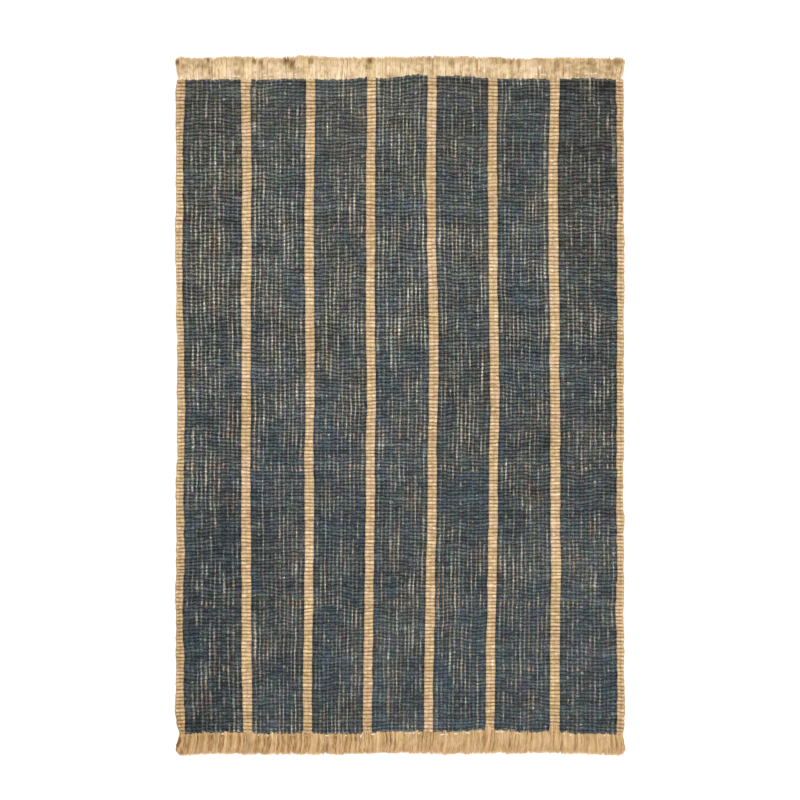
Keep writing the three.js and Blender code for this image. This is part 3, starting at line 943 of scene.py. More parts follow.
def make_dyed_yarn(name, levels):
    """Dark blue-grey dyed jute with undyed streaks."""
    material, tree, shader = new_material(name)
    parts = yarn_parts(tree, 1.0)
    weave, warp_crown, _ = parts
    undyed, tint, tone, pale_around = read_dye(tree)
    place = object_place(tree)
    up_the_rug = scaled(tree, split(tree, "XYZ", place)[1], 0.5, noise(tree, place, 16.0, 3.0))
    dark = times(tree, ramp(tree, up_the_rug, DARK_COLOURS), ramp(tree, pale_around, DYE_DEPTH))
    speckle = noise(tree, weave, 0.7, 1.0, (0.9, 0.45, 1.0)).node.outputs["Color"]
    dark = blend(tree, 0.28, dark, speckle, "SOFT_LIGHT")
    dark = times(tree, dark, grey(tree, scaled(tree, tone, 1.1, 0.455)))
    # The streak shows only near the crown: this is the undyed core, plus painted shade on the yarn's sides
    narrow = scaled(tree, pattern(tree, weave, "streak widths"), 14.0, 2.0)
    streak = calc(tree, "MULTIPLY", calc(tree, "POWER", warp_crown, narrow), undyed)
    colour = blend(tree, streak, dark, ramp(tree, tint, PALE_COLOURS))
    part = calc(tree, "DIVIDE", split(tree, "XYZ", weave)[1], RIB_COUNT)
    # How strong the painted shade in the grooves is along the rug
    strength = ramp(tree, part, [(place, (value, value, value, 1)) for place, value in RIB_STRENGTH])
    finish_yarn(tree, shader, colour, parts, levels, grey, strength)
    return material


DYED_LEVELS = {"hole": 0.22, "rib": 0.58, "warp": 0.30, "rib_power": 1.85, "warp_power": 2.2, "flecks": 4.8}
STRIPE_LEVELS = {"hole": 0.42, "rib": 0.50, "warp": 0.12, "rib_power": 1.0, "warp_power": 1.2, "flecks": 1.5}
EDGE_LEVELS = {"hole": 0.38, "rib": 0.53, "warp": 0.12, "rib_power": 1.0, "warp_power": 1.2, "flecks": 1.0}
stripe_yarn = make_undyed_yarn("undyed_stripe_yarn", STRIPE_LEVELS)
edge_yarn = make_undyed_yarn("undyed_edge_yarn", EDGE_LEVELS)
dyed_yarn = make_dyed_yarn("dyed_jute_yarn", DYED_LEVELS)
for band in BANDS:
    band["piece"].data.materials.clear()
    undyed_yarn = edge_yarn if "selvedge" in band["name"] else stripe_yarn
    band["piece"].data.materials.append(dyed_yarn if band["dyed"] else undyed_yarn)
print("materials:", stripe_yarn.name, edge_yarn.name, dyed_yarn.name)

# %% [markdown]
# ## The fringe
# Each fringe is brushed jute: tufts of fine fibres that start at the seam, fan out a little and lie on the
# floor. A particle system could grow them, but it needs baking and gives curves. Here one fibre is modelled
# by extruding a triangle and closing it in a point. Then thousands of copies of it are joined in one mesh,
# each bent along its own line, and the fibres of one tuft share most of their bend.

# %% Model one fibre
LONG_STEPS = [0.2, 0.2, 0.2, 0.2, 0.16, 0.04]
SHORT_STEPS = [0.3, 0.3, 0.34, 0.06]


def points_and_faces(piece):
    """Takes the points and faces of a piece, and removes the piece."""
    points = points_of(piece.data)
    faces = [tuple(face.vertices) for face in piece.data.polygons]
    bpy.data.objects.remove(piece, do_unlink=True)
    return points, faces


def make_fibre(steps):
    """One fibre of unit length and unit radius along +Y, three-sided, with a short blunt point."""
    deselect_all()
    bpy.ops.mesh.primitive_circle_add(vertices=3, radius=1, fill_type="NGON", rotation=(math.pi / 2, 0, 0))
    fibre = bpy.context.object
    bpy.ops.object.transform_apply(rotation=True)
    edit_all()
    for step in steps:
        bpy.ops.mesh.extrude_region_move(TRANSFORM_OT_translate={"value": (0, step, 0)})
    bpy.ops.mesh.merge(type="CENTER")
    face_outwards()
    points, faces = points_and_faces(fibre)
    points[:, 1] = np.clip(points[:, 1], 0, 1)
    return points, faces


LONG_FIBRE = make_fibre(LONG_STEPS)
SHORT_FIBRE = make_fibre(SHORT_STEPS)
print("a long fibre has", len(LONG_FIBRE[1]), "faces and a short one", len(SHORT_FIBRE[1]))


def join_copies(name, places, template_faces, attributes):
    """One mesh of many copies: places holds the points of every copy, and attributes holds their values."""
    copies, size = places.shape[:2]
    faces = []
    for face_size in sorted({len(face) for face in template_faces}):
        block = np.array([face for face in template_faces if len(face) == face_size])
        shifts = (np.arange(copies) * size)[:, None, None]
        faces += (block[None] + shifts).reshape(-1, face_size).tolist()
    mesh = bpy.data.meshes.new(name)
    mesh.from_pydata(places.reshape(-1, 3).tolist(), [], faces)
    for key, values in attributes.items():
        store = mesh.attributes.new(key, "FLOAT_COLOR", "POINT")
        store.data.foreach_set("color", values.reshape(-1, 4).astype(np.float32).ravel())
    piece = bpy.data.objects.new(name, mesh)
    bpy.context.collection.objects.link(piece)
    return piece


# %% [markdown]
# The tufts are about 6 mm wide, as the locks of the measured model are, but each has its own width. The far
# fringe is pale, fluffy and hardly parted. The near one is browner, and its tufts curl and stand apart at
# the left. A table per fringe holds how far its tips reach, how it leans and curls, how much its tufts
# stand apart, how it flares at the rug's corners, and where it is weathered brown.

# %% Sizes of the fringes
FRINGES = [
    {"name": "fringe_far", "side": 1, "bow": "far", "left": -296.5, "right": 297, "seed": 51,
     "flare": (5.0, 6.5), "flare_power": (0.9, 1.1), "turn_back": (0.3, 0.1), "round": (2.0, 1.0),
     "brown_tips": 0.16, "tips": (1.5, 1.0), "tip_light": 0.04, "stitch_rise": 1.2, "start": 0,
     "over_stripes": [2, 2, 1.5, 1, 3, 4],
     "reach": {"across": [-289, -262, -235, -209, -182, -155, -128, -101, -75, -48, -21,
                          6, 33, 60, 86, 113, 140, 167, 194, 220, 247, 274],
               "tip": [29.1, 27.2, 29.2, 29.0, 27.9, 28.2, 30.9, 29.4, 28.2, 28.1, 28.1,
                       28.4, 29.7, 29.8, 29.3, 29.2, 27.6, 26.2, 27.5, 28.2, 27.9, 27.0]},
     "comb": {"across": [-300, -200, -100, 0, 100, 200, 300],
              "lean": [0.6, -0.4, 0.3, 0.8, -0.6, -0.3, 0.2],
              "bulge": [0.5, -0.4, 0.2, 0.3, -0.5, 0.3, 0.4],
              "parted": [0.1, 0.1, 0.12, 0.15, 0.15, 0.25, 0.3],
              "tone": [0.97, 0.99, 1.02, 1.01, 0.99, 0.91, 0.88]},
     "brown": {"across": [-297.5, -256.7, -195, -186, -152, -145, -119, -60, -40,
                          39, 69, 140, 160, 210, 210, 255, 292],
               "reach": [21.5, 24.8, 23.5, 21, 24.5, 19.5, 25, 25, 24, 25, 22, 26, 20, 16, 22, 21, 22],
               "size": [3, 2, 3.5, 3.5, 4.5, 4, 4, 3, 3.5, 4, 5, 4, 4, 5, 4, 4, 5],
               "amount": [1, 1, 0.8, 0.8, 1, 1, 0.7, 0.3, 0.9, 0.5, 0.5, 0.4, 0.4, 0.5, 0.5, 0.5, 0.6]}},
    {"name": "fringe_near", "side": -1, "bow": "near", "left": -294, "right": 298, "seed": 52,
     "flare": (7.5, 3.4), "flare_power": (0.8, 1.1), "turn_back": (0.75, 0.3), "round": (3.0, 2.0),
     "brown_tips": 0.0, "tips": (1.4, 0.9), "tip_light": 0.08, "stitch_rise": 1.0, "start": -1.2,
     "over_stripes": [5, 3, 5, 4, 8, 11],
     "reach": {"across": [-289, -262, -235, -209, -182, -155, -128, -101, -75, -48, -21,
                          6, 33, 60, 86, 113, 140, 167, 194, 220, 247, 274],
               "tip": [29.6, 27.5, 27.2, 27.8, 28.5, 27.4, 28.2, 27.7, 28.2, 27.3, 26.4,
                       25.7, 26.4, 28.3, 27.2, 26.7, 26.0, 27.5, 25.1, 26.5, 27.4, 29.0]},
     "comb": {"across": [-300, -285, -240, -120, -20, 40, 130, 200, 300],
              "lean": [0, -2, -2.2, -2, -1, -4, -4, -2, 0.5],
              "bulge": [-1, 1.8, 2.4, 1.8, 0.6, 0.4, 0.4, 0.8, 0.8],
              "parted": [1.1, 1.9, 1.9, 1.7, 0.75, 0.6, 0.55, 0.5, 0.5],
              "tone": [0.88, 0.94, 0.95, 0.96, 0.97, 0.98, 0.99, 1.04, 1.04]},
     "brown": {"across": [-298, -293, -286.5, -294], "reach": [17, 27, 15.5, 9.5], "size": [2.5, 3, 1.6, 2],
               "amount": [0.8, 0.6, 0.8, 0.7]}},
]
LOCK_COUNT = 92
GAP_LEAST = 0.2
GAP_MOST = 2.2
# The three kinds of fibres: how many, how thick, and how high they lie
TUFT_FIBRES = 5152
UNDER_FIBRES = 2800
STRAY_FIBRES = 1500
FIBRE_RADIUS = 0.27 * MM
UNDER_RADIUS = 0.50 * MM
STRAY_RADIUS = 0.20 * MM
STRAY_LENGTH = 12 * MM
FRINGE_HEIGHT = 6.6 * MM
UNDER_HEIGHT = 2.2 * MM
ROOT_HEIGHT = 1.5 * MM
TIP_HEIGHT = 0.4 * MM
SEAM_SCATTER = 1.7 * MM
FLARE_POWER = 10
CORNER_LENGTH = 6 * MM
USUAL_REACH = 28 * MM
LEAST_SPOT = 2.8
# The random waves of a fringe: how far each one goes, its length across the rug, and its own seed
FRINGE_WAVES = {
    "lean": {"size": 1.3 * MM, "length": 20 * MM, "seed": 11},
    "bulge": {"size": 0.7 * MM, "length": 16 * MM, "seed": 14},
    "teeth": {"size": 1.7 * MM, "length": 3 * MM, "seed": 16},
    "tips": {"size": MM, "length": 9 * MM, "seed": 12},
}


def seam_at(fringe, across, distance):
    """The line of a seam, a set distance outside the cloth's end."""
    return fringe["side"] * (HALF_LENGTH + bow_at(fringe["bow"], across) + distance)


def limits_of(fringe):
    """Where a fringe starts across the rug, and how wide it is."""
    return fringe["left"] * MM, (fringe["right"] - fringe["left"]) * MM


def fringe_wave(fringe, name, across):
    """One of the random waves of a fringe, at places across the rug."""
    wave = FRINGE_WAVES[name]
    return wave["size"] * wander(fringe["seed"] + wave["seed"], across / wave["length"], across * 0 + 0.5)


def combed(fringe, across):
    """How the comb went over the fringe: how far its tips lean and its middle bulges to the right."""
    return [from_table(fringe["comb"], "across", way, across) + fringe_wave(fringe, way, across)
            for way in ("lean", "bulge")]


def spread_evenly(fringe, dice, count):
    """Places across a fringe, evenly spread but for a little chance."""
    start, width = limits_of(fringe)
    return start + width * (np.arange(count) + dice.random(count)) / count


# %% [markdown]
# The lines of the fibres are worked out by kind. A fibre of a tuft shares its tuft's lean and curl and is
# drawn in towards its tuft's middle. A low layer of fibres belongs to no tuft and hides the floor; it is
# drawn dark with painted shade. Short stray fibres lie askew on top and make the fringe fluffy.

# %% Work out the lines of the fibres
def tuft_lines(fringe, dice, count):
    """Where the fibres of the tufts start and end, how they bend, and how high they lie."""
    start, width = limits_of(fringe)
    widths = 0.35 + 1.7 * dice.random(LOCK_COUNT) ** 2
    edges = start + width * np.concatenate([[0], np.cumsum(widths)]) / widths.sum()
    _, own_lean, own_bulge, own_short, own_shade = dice.random((LOCK_COUNT, 5)).T
    across = spread_evenly(fringe, dice, count)
    lock = np.clip(np.searchsorted(edges, across) - 1, 0, LOCK_COUNT - 1)
    half = (edges[lock + 1] - edges[lock]) / 2
    in_lock = (across - edges[lock]) / half - 1
    gaps = GAP_LEAST + (GAP_MOST - GAP_LEAST) * dice.random(LOCK_COUNT + 1) ** 2
    parted = from_table(fringe["comb"], "across", "parted", across) / MM * gaps[lock + (in_lock > 0)]
    lean, bulge = combed(fringe, edges[lock] + half)
    lean = lean + 3.0 * MM * (own_lean[lock] - 0.5) + MM * dice.normal(0, 0.8, count)
    bulge = bulge + 2.2 * MM * (own_bulge[lock] - 0.5) + MM * dice.normal(0, 0.35, count)
    level = dice.random(count)
    crown_height = 1 - np.clip(0.8 * parted, 0, 0.9) * np.abs(in_lock) ** 2.5
    height = FRINGE_HEIGHT * (0.85 + 0.15 * own_shade[lock])
    root = ROOT_HEIGHT + (height - ROOT_HEIGHT) * level * (0.5 + 0.5 * crown_height)
    tip = TIP_HEIGHT + 0.6 * root * (0.4 + 0.6 * dice.random(count)) * crown_height
    short = 0.8 * MM * own_short[lock] + fringe["tips"][0] * MM * dice.normal(0, 1, count)
    return {"across": across, "lean": lean, "bulge": bulge, "draw_in": -in_lock * half * 0.5 * parted,
            "begin": 0 * level, "short": short, "radius": FIBRE_RADIUS,
            "seam": SEAM_SCATTER * (dice.random(count) - level), "root": root, "tip": tip,
            "shade": 0.5 * dice.random(count) + 0.5 * own_shade[lock],
            # depth lifts the fibre's arch and sets its painted shade: low fibres and the edges of parted
            # tufts are drawn darker
            "depth": (0.3 + 0.7 * level) * crown_height}


def under_lines(fringe, dice, count):
    """The same for the low layer."""
    across = spread_evenly(fringe, dice, count)
    lean, bulge = combed(fringe, across)
    level = dice.random(count)
    return {"across": across, "lean": lean + MM * dice.normal(0, 0.9, count), "bulge": bulge,
            "draw_in": 0 * level, "begin": 0 * level, "short": 1.5 * MM + 2.0 * MM * dice.random(count),
            "radius": UNDER_RADIUS,
            "seam": 0.6 * MM + SEAM_SCATTER * level, "root": 0.5 * MM + UNDER_HEIGHT * level,
            "tip": TIP_HEIGHT + 0.5 * UNDER_HEIGHT * level, "shade": dice.random(count),
            # The low layer's small depth draws it dark, as painted shade
            "depth": 0.15 * level}


def stray_lines(fringe, dice, count):
    """The same for the short stray fibres."""
    start, width = limits_of(fringe)
    across = start + 2 * MM + (width - 4 * MM) * dice.random(count)
    lean, bulge = combed(fringe, across)
    level = dice.random(count)
    height = FRINGE_HEIGHT * (0.75 + 0.25 * level)
    begin = dice.random(count) * 0.7
    return {"across": across + lean * begin ** 1.6, "lean": lean + 2.6 * MM * dice.normal(0, 1, count),
            "bulge": 1.6 * MM * dice.normal(0, 1, count), "draw_in": 0 * level, "begin": begin,
            "short": 2.0 * MM * level, "radius": STRAY_RADIUS, "seam": SEAM_SCATTER * level,
            "root": height * (1 - 0.45 * begin), "tip": height * (0.75 - 0.45 * begin),
            "shade": dice.random(count), "depth": 0.5 + 0.5 * level}


# %% [markdown]
# Then every fibre is bent along its line. It also gets a small wave of its own, and its values for the
# material: its shade, how light its part of the fringe is, how brown it is there, and how deep it lies, from
# which the material paints shade.

# %% Lay the fibres of both fringes
def brown_at(fringe, across, reach):
    """How brown the jute is at places of a fringe, from 0 to 1."""
    table = fringe["brown"]
    amount = np.zeros(across.shape)
    for place, out, size, strength in zip(table["across"], table["reach"], table["size"], table["amount"]):
        longer = math.hypot(1.2 * size, LEAST_SPOT)
        distance = np.hypot((across - place * MM) / size, (reach - out * MM) / longer) / MM
        amount = np.maximum(amount, strength * np.exp(-distance ** 4))
    patchy = smooth_noise(fringe["seed"] + 15, across / 0.012, reach / 0.02)
    tips = fringe["brown_tips"] * np.clip((reach - 17 * MM) / (9 * MM), 0, 1) * (0.4 + 1.2 * patchy)
    return np.clip(np.maximum(amount, tips), 0, 1)


def over_stripes(fringe, across):
    """How far the fibres at places across the rug start in on an undyed stripe, past the usual line."""
    row = 0 if fringe["side"] < 0 else -1
    middles = np.array([BAND_TABLE[stripe][row] for stripe in STRIPE_WIDTHS]) * MM
    near_middle = np.clip(1.7 - np.abs(across[:, None] - middles) / (4.5 * MM), 0, 1)
    return (near_middle * np.array(fringe["over_stripes"])).sum(axis=1) * MM


def lay_fibres(fringe, name, lines, template, dice):
    """One mesh of fibres that follow the lines."""
    points, faces = template
    across = lines["across"]
    count = len(across)
    start, width = limits_of(fringe)
    is_left = across < start + width / 2
    corner = np.abs((across - start) / (width / 2) - 1) ** FLARE_POWER
    flare = np.where(is_left, -fringe["flare"][0], fringe["flare"][1]) * MM * corner
    flare_power = np.where(is_left, *fringe["flare_power"])[:, None]
    turn_back = np.where(is_left, *fringe["turn_back"])[:, None]
    edge_distance = np.clip(np.minimum(across - start, start + width - across), 0, None)
    near_corner = np.clip(1 - edge_distance / CORNER_LENGTH, 0, 1)
    rounding = np.where(is_left, *fringe["round"]) * MM * near_corner ** 2
    length = from_table(fringe["reach"], "across", "tip", across) - rounding - lines["short"]
    length = length + fringe["tips"][1] * fringe_wave(fringe, "tips", across)
    root = bow_at(fringe["bow"], across) + lines["seam"] + fringe["start"] * MM
    root = root + fringe_wave(fringe, "teeth", across)
    ragged = 0.5 + 0.9 * smooth_noise(fringe["seed"] + 17, across / (1.5 * MM), across * 0 + 0.5)
    over = over_stripes(fringe, across) * ragged * dice.random(count)
    root = root - over
    stray = lines["begin"] > 0
    root = root + lines["begin"] * (length - root)
    length = np.where(stray, np.minimum(length, root + STRAY_LENGTH), length)

    part = points[None, :, 1]
    reach = root[:, None] + (length - root)[:, None] * part
    out = np.clip(reach / USUAL_REACH, 0, 1)
    turned_back = turn_back * np.clip((out - 0.6) / 0.4, 0, 1) ** 2
    flare_here = flare[:, None] * out ** flare_power * (1 - turned_back)
    wave = (0.9 * MM * dice.random(count) ** 1.5)[:, None]
    wave_turns = 2 * math.pi * (0.8 + 1.6 * dice.random(count))[:, None]
    wave_start = 2 * math.pi * dice.random(count)[:, None]
    arch = np.sin(math.pi * part)
    x = across[:, None] + flare_here + lines["lean"][:, None] * part ** 1.6
    x = x + (lines["draw_in"] + lines["bulge"])[:, None] * arch
    x = x + wave * (np.sin(wave_turns * part + wave_start) - np.sin(wave_start))
    lift = 1.2 * MM * np.clip(over / (2 * MM), 0, 1)
    root_height = (lines["root"] + lift)[:, None]
    z = root_height + (lines["tip"][:, None] - root_height) * part ** 1.4
    z = z + 0.5 * MM * lines["depth"][:, None] * arch
    brown = brown_at(fringe, x, reach) * (0.5 + 0.5 * dice.random(count))[:, None]
    thick = lines["radius"] * (0.7 + 0.6 * dice.random(count))[:, None] * (1 - 0.4 * part)
    x = x + points[None, :, 0] * thick * 1.3
    y = fringe["side"] * (HALF_LENGTH + reach)
    z = np.maximum(z + points[None, :, 2] * thick, 0.05 * MM)
    places = np.stack([x + PLAN_X, y + PLAN_Y, z], axis=2)
    tone = from_table(fringe["comb"], "across", "tone", x) / MM
    tone = tone + fringe["tip_light"] * np.clip((reach - 18 * MM) / (8 * MM), 0, 1)
    shade, depth = lines["shade"][:, None] + 0 * part, lines["depth"][:, None] + 0 * part
    values = np.stack([shade, tone, brown, depth], axis=2)
    piece = join_copies(name, places, faces, {"fibre": values})
    print(name, "has", count, "fibres")
    return piece


KINDS = [
    ("tufts", tuft_lines, TUFT_FIBRES, LONG_FIBRE),
    ("under", under_lines, UNDER_FIBRES, SHORT_FIBRE),
    ("stray", stray_lines, STRAY_FIBRES, SHORT_FIBRE),
]
for fringe in FRINGES:
    fringe["fibres"] = []
    for number, (kind, make_lines, count, template) in enumerate(KINDS):
        dice = np.random.default_rng(fringe["seed"] + 100 * number)
        lines = make_lines(fringe, dice, count)
        fringe["fibres"].append(lay_fibres(fringe, fringe["name"] + "_" + kind, lines, template, dice))

# %% [markdown]
# ### The fringe's head and its stitches
# The fibres are held by a narrow head that lies against the cloth's end, and a pale sewing thread runs
# along it. The head is a rounded bar, modelled as one short ring that is repeated along the seam. Each
# stitch is a small sphere stretched to a stitch's size. Most stitches sink into the jute, and a few show.

# %% Model the heads and the stitches
HEAD_WIDTH = 3.6 * MM
HEAD_HEIGHT = 4.0 * MM
HEAD_STEP = 2.4 * MM
STITCH_LENGTH = 5.2 * MM
STITCH_PITCH = 7.2 * MM
STITCH_LINE = 2.5 * MM
STITCH_THICKNESS = 1.8 * MM
STITCH_SINK = 5.0 * MM
STITCH_FROM_EDGE = 5 * MM
HEAD_GAP = 0.2 * MM
HEAD_SWELL = 0.16
SWELLS_PER_STEP = 0.9
HEAD_SMOOTHING = math.radians(60)
# The stitches that show, in millimetres: their middle, length, distance from the cloth, and turn in degrees
SHOWN_STITCHES = {
    "fringe_far": {
        "across": [-234, -228, -222, -216, -181, -172, -163, -155, -147, -139, 183, 190, 195, 249, 257, 262],
        "length": [5, 5, 6, 6, 6, 4, 6, 5, 6, 5, 5, 5, 3, 4.5, 3.5, 4],
        "out": [3.4, 3.6, 3.4, 3.6, 5.2, 5.6, 6, 5.2, 5.4, 5, 4.6, 4.8, 4.4, 5, 4.8, 5.4],
        "turn": [0, 4, -3, 0, 3, -5, 0, -8, 4, 0, 3, 0, -4, 3, -5, 8]},
    "fringe_near": {
        "across": [-237, -189, -177, -97, -72, -52, -36, 8, 13, 18.5, 26, 57, 63, 75, 91, 107, 130.5, 137,
                   155.5, 161, 220.5, 229, 274],
        "length": [3, 2.5, 2.5, 6, 3, 6, 6, 3, 3.5, 4, 3, 7, 3.5, 5.5, 7, 3.5, 6, 5.5, 3, 3, 3, 4.5, 3],
        "out": [1.0, 1.2, 1.4, 1.5, 1.6, 2.6, 1.3, 1.0, 1.2, 1.0, 1.5, 2.2, 2.0, 1.6, 1.4, 1.0, 1.7, 1.5,
                1.2, 1.6, 1.2, 1.4, 1.9],
        "turn": [30, 0, 40, 0, 20, 80, 0, 30, -20, 15, 35, 0, -25, 5, 0, 10, -6, 4, 25, -20, 0, 6, 20]},
}


def make_head(fringe):
    """The head of a fringe: a flat rounded band that follows the seam."""
    deselect_all()
    start, width = limits_of(fringe)
    count = int(width / HEAD_STEP)
    upright = (0, math.pi / 2, 0)
    bpy.ops.mesh.primitive_circle_add(vertices=10, radius=1, fill_type="NOTHING", rotation=upright)
    head = bpy.context.object
    bpy.ops.object.transform_apply(rotation=True)
    edit_all()
    bpy.ops.mesh.extrude_region_move(TRANSFORM_OT_translate={"value": (1, 0, 0)})
    bpy.ops.object.mode_set(mode="OBJECT")
    repeat(head, count, (1, 0, 0))
    points = points_of(head.data)
    across = start + width * points[:, 0] / count
    swell = 1 + HEAD_SWELL * wander(fringe["seed"] + 20, points[:, 0] * SWELLS_PER_STEP, points[:, 0] * 0)
    y = seam_at(fringe, across, HEAD_GAP + HEAD_WIDTH / 2 * (1 + points[:, 1] * swell))
    z = HEAD_HEIGHT / 2 * (1 + points[:, 2] * 0.96 * swell)
    set_points(head.data, np.stack([across + PLAN_X, y + PLAN_Y, np.maximum(z, 0.1 * MM)], axis=1))
    head.name = fringe["name"] + "_head"
    edit_all()
    bpy.ops.mesh.fill_holes(sides=0)
    face_outwards()
    bpy.ops.object.shade_smooth_by_angle(angle=HEAD_SMOOTHING)
    return head


def make_stitches(fringe):
    """The visible stitches along a seam, joined in one mesh."""
    deselect_all()
    bpy.ops.mesh.primitive_uv_sphere_add(segments=8, ring_count=6, radius=0.5, rotation=(0, math.pi / 2, 0))
    stitch = bpy.context.object
    bpy.ops.object.transform_apply(rotation=True)
    template, faces = points_and_faces(stitch)
    dice = np.random.default_rng(fringe["seed"] + 30)
    start, width = limits_of(fringe)
    hidden = np.arange(start + STITCH_FROM_EDGE, start + width - STITCH_FROM_EDGE, STITCH_PITCH)
    table = {key: np.array(values, float) for key, values in SHOWN_STITCHES[fringe["name"]].items()}
    across = np.concatenate([hidden, table["across"] * MM])
    length = np.concatenate([hidden * 0 + STITCH_LENGTH, table["length"] * MM])
    out = np.concatenate([hidden * 0 + STITCH_LINE, table["out"] * MM])
    turn = np.radians(np.concatenate([hidden * 0, table["turn"]]) + dice.normal(0, 4, len(across)))[:, None]
    sunk = np.where(np.arange(len(across)) < len(hidden), STITCH_SINK, 0.3 * MM * dice.random(len(across)))
    long = template[None, :, 0] * length[:, None]
    wide = template[None, :, 1] * STITCH_THICKNESS
    x = long * np.cos(turn) - wide * np.sin(turn)
    y = long * np.sin(turn) + wide * np.cos(turn)
    z = (FRINGE_HEIGHT + fringe["stitch_rise"] * MM - sunk)[:, None]
    z = z + template[None, :, 2] * STITCH_THICKNESS * 0.7
    z = z - 0.5 * MM * (2 * template[None, :, 0]) ** 2
    line = seam_at(fringe, across, out)
    places = np.stack([x + across[:, None] + PLAN_X, y + line[:, None] + PLAN_Y, z], axis=2)
    piece = join_copies(fringe["name"] + "_stitches", places, faces, {})
    piece.data.shade_smooth()
    print(piece.name, "has", len(across), "stitches")
    return piece


for fringe in FRINGES:
    fringe["head"] = make_head(fringe)
    fringe["stitches"] = make_stitches(fringe)

# %% [markdown]
# ### Brushed jute and thread
# Each fibre gets its own shade from the attribute that it carries, a whole tuft is a little lighter or
# darker than the next, and the tips of the far fringe are weathered brown in places. Fibres that lie low,
# and those at the edges of parted tufts, get painted shade: they are drawn darker and browner. The soft
# patches over the fringe are partly random tone and partly painted light and shade of the fluff.

# %% Draw the brushed jute and the thread
BROWN_DEPTH = 0.9
LIGHTEST = 1.05
LIGHTEST_SOFTNESS = 0.45
BRUSHED_WARMTH = (1.0, 1.33, 2.0)
# How painted shade deep in the fringe turns the jute darker and browner
DEPTH_WARMTH = (0.8, 1.45, 2.6)


def make_brushed(name, base, shares):
    """Brushed jute of a base colour, with brown places and painted shade low in the tufts. shares holds how
    strong the fibre's own shade, the wide patches and the fluff patches are, and how fine the fluff patches
    are across and along; the fluff patches are partly random tone and partly painted light and shade."""
    material, tree, shader = new_material(name)
    fibre = attribute(tree, "fibre")
    shade, tone, weathered = split(tree, "Color", fibre.outputs["Color"])
    place = object_place(tree)
    own, wide, fluff_tone_and_shade, across, along = shares
    values = [(shade, own), (noise(tree, place, 45.0, 2.0), wide),
              # The fluff patches: partly random tone, partly painted light and shade of the fluff
              (noise(tree, place, 1.0, 2.0, stretch=(across, along, 40.0)), fluff_tone_and_shade),
              (noise(tree, place, 1.0, 3.0, stretch=(420.0, 200.0, 300.0)), 0.25)]
    light = tone
    for value, gain in values:
        light = calc(tree, "ADD", light, off_middle(tree, value, gain))
    light = calc(tree, "SMOOTH_MIN", light, LIGHTEST, LIGHTEST_SOFTNESS)
    light = calc(tree, "MULTIPLY", light, scaled(tree, weathered, -BROWN_DEPTH, 1.0))
    # Painted shade: fibres that lie low are drawn darker and browner
    low = scaled(tree, fibre.outputs["Alpha"], 0.5, 0.6)
    which = ramp(tree, noise(tree, place, 60.0, 1.0), [(0.4, (1, 0.985, 1.0, 1)), (0.6, (0.99, 1, 0.94, 1))])
    colour = times(tree, times(tree, base, which), warm_shade(tree, light, BRUSHED_WARMTH))
    set_surface(tree, shader, times(tree, colour, warm_shade(tree, low, DEPTH_WARMTH)), 0.85, 0.25)
    shader.inputs["Sheen Weight"].default_value = 0.15
    shader.inputs["Sheen Roughness"].default_value = 0.5
    return material


def make_threads(name, stretch, stops, relief, roughness):
    """Jute or cotton with fine threads: stretch says how fine they are, stops holds their colours, and
    relief is how strongly and how far they stand out."""
    material, tree, shader = new_material(name)
    threads = noise(tree, object_place(tree), 1.0, relief["detail"], stretch)
    set_surface(tree, shader, ramp(tree, threads, stops), roughness, 0.5)
    add_relief(tree, shader, threads, relief["strength"], relief["height"])
    return material


far_shares, near_shares = (0.08, 0.95, 0.95, 170.0, 160.0), (0.2, 0.75, 0.65, 190.0, 100.0)
far_brushed = make_brushed("brushed_jute_far", rgb(255, 233, 196), far_shares)
near_brushed = make_brushed("brushed_jute_near", rgb(240, 209, 161), near_shares)
head_jute = make_threads("fringe_head_jute", (900.0, 160.0, 300.0),
                         [(0.3, rgb(176, 138, 92)), (0.6, rgb(226, 194, 148))],
                         {"detail": 3.0, "strength": 0.5, "height": 0.5 * MM}, 0.95)
thread = make_threads("seam_cotton_thread", (2600.0, 1400.0, 1400.0),
                      [(0.3, rgb(253, 220, 202)), (0.6, rgb(255, 242, 228))],
                      {"detail": 2.0, "strength": 0.4, "height": 0.2 * MM}, 0.8)
print("materials:", far_brushed.name, near_brushed.name, head_jute.name, thread.name)
for fringe, brushed in zip(FRINGES, (far_brushed, near_brushed)):
    for piece in fringe["fibres"]:
        piece.data.materials.append(brushed)
    fringe["head"].data.materials.append(head_jute)
    fringe["stitches"].data.materials.append(thread)

# %% [markdown]
# ## Joining the looks to the model
# Every visible piece rides on the rug's one body. The bands stand for the cloth's solid. The fibres, head
# and stitches of a fringe stand for its own solid.

# %% Hand the pieces over
def tell(piece, node):
    """Puts a piece on the rug's body and hides the model's part that it stands for."""
    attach(piece, "root")
    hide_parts(node)


for band in BANDS:
    tell(band["piece"], "rug_cloth")
for fringe in FRINGES:
    for piece in fringe["fibres"]:
        tell(piece, fringe["name"])
    tell(fringe["head"], fringe["name"])
    tell(fringe["stitches"], fringe["name"])

# %% [markdown]
# ## Floor, light and camera
# The rug is seen from straight above on a plain white floor. The floor glows a little, like the light table
# that such pictures are taken on, so that it stays white right up to the rug. The light is soft and comes
# almost straight down, because the ribs of the real rug show no bright side and no dark side.

# %% Set the stage
FLOOR_DROP = 0.2 * MM
deselect_all()
bpy.ops.mesh.primitive_plane_add(size=8, location=(0, 0, -FLOOR_DROP))
floor = bpy.context.object
floor.name = "floor"
floor_material, floor_tree, floor_shader = new_material("pale_floor")
set_surface(floor_tree, floor_shader, (0.9, 0.9, 0.9, 1), 0.9, 0.0)
floor_shader.inputs["Emission Color"].default_value = (1, 1, 1, 1)
floor_shader.inputs["Emission Strength"].default_value = 0.35
floor.data.materials.append(floor_material)

world = bpy.data.worlds.new("soft_studio")
bpy.context.scene.world = world
world.use_nodes = True
world.node_tree.nodes["Background"].inputs[0].default_value = (1, 1, 1, 1)
world.node_tree.nodes["Background"].inputs[1].default_value = 0.75

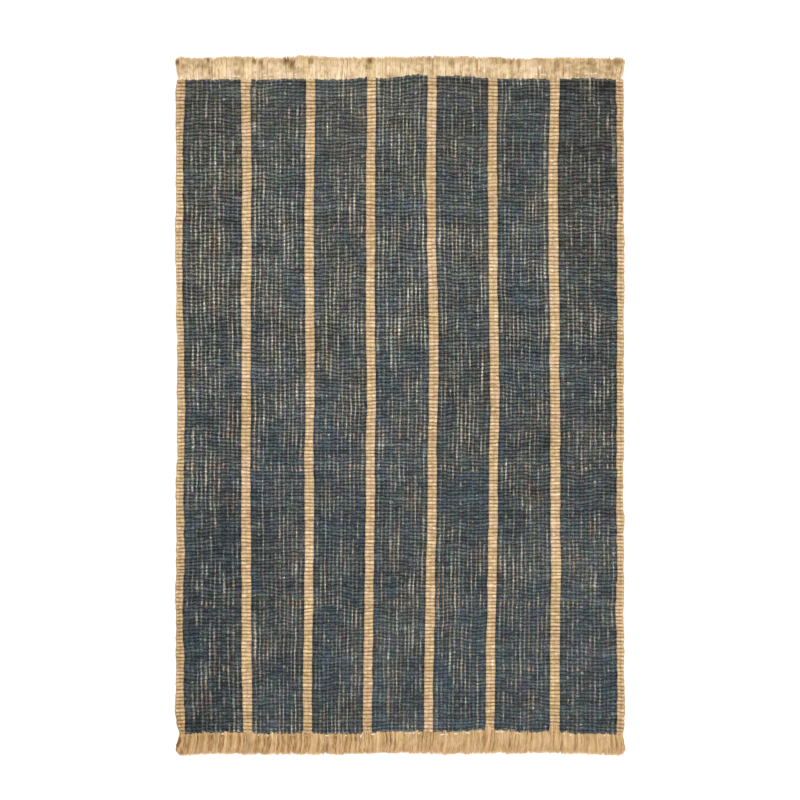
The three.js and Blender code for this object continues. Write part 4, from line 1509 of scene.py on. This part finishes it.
key = bpy.data.lights.new("key_light", "SUN")
key.angle = math.radians(50)
key.energy = 1.25
key_lamp = bpy.data.objects.new("key_light", key)
bpy.context.collection.objects.link(key_lamp)
key_lamp.location = (0.6, 0.9, 3.0)
key_lamp.rotation_euler = (-key_lamp.location).to_track_quat("-Z", "Y").to_euler()

# The frame of the picture: its width in metres, and the point of the plan in its middle
PICTURE_WIDTH = 1.0728
PICTURE_ACROSS = 0.5 * MM
PICTURE_ALONG = 7.9 * MM
CAMERA_HEIGHT = 6.0
camera_data = bpy.data.cameras.new("camera")
camera_data.sensor_width = 36
camera_data.lens = camera_data.sensor_width * CAMERA_HEIGHT / PICTURE_WIDTH
camera_data.clip_end = 50
camera = bpy.data.objects.new("camera", camera_data)
bpy.context.collection.objects.link(camera)
camera.location = (PLAN_X + PICTURE_ACROSS, PLAN_Y + PICTURE_ALONG, CAMERA_HEIGHT)
bpy.context.scene.camera = camera
bpy.context.scene.view_settings.view_transform = "Standard"

# %% [markdown]
# The cloth is one woven sheet in real life. Here each panel's flat size is worked out, and the stripe to its
# right, the rug's edges and the fringes are gathered as what goes with it; nothing further is done with
# them.

STRIPE_WIDTH = sum(STRIPE_WIDTHS.values()) / len(STRIPE_WIDTHS) * MM
PANEL_WIDTH = (RUG_WIDTH - 2 * SELVEDGE_WIDTH - len(STRIPE_WIDTHS) * STRIPE_WIDTH) / PANEL_COUNT
on_the_ends = []
for fringe in FRINGES:
    on_the_ends += fringe["fibres"] + [fringe["head"], fringe["stitches"]]
for band, next_band in zip(BANDS[1:], BANDS[2:]):
    if band["dyed"]:
        goes_with = [next_band["piece"]] + on_the_ends
        if band is BANDS[1]:
            goes_with.append(BANDS[0]["piece"])
        flat = (PANEL_WIDTH, CLOTH_LENGTH)

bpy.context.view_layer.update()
triangles = 0
for piece in bpy.context.scene.objects:
    if piece.type == "MESH" and not piece.hide_render:
        count = sum(len(face.vertices) - 2 for face in piece.data.polygons)
        triangles += count
        print(piece.name, count)
print("triangles in all:", triangles)
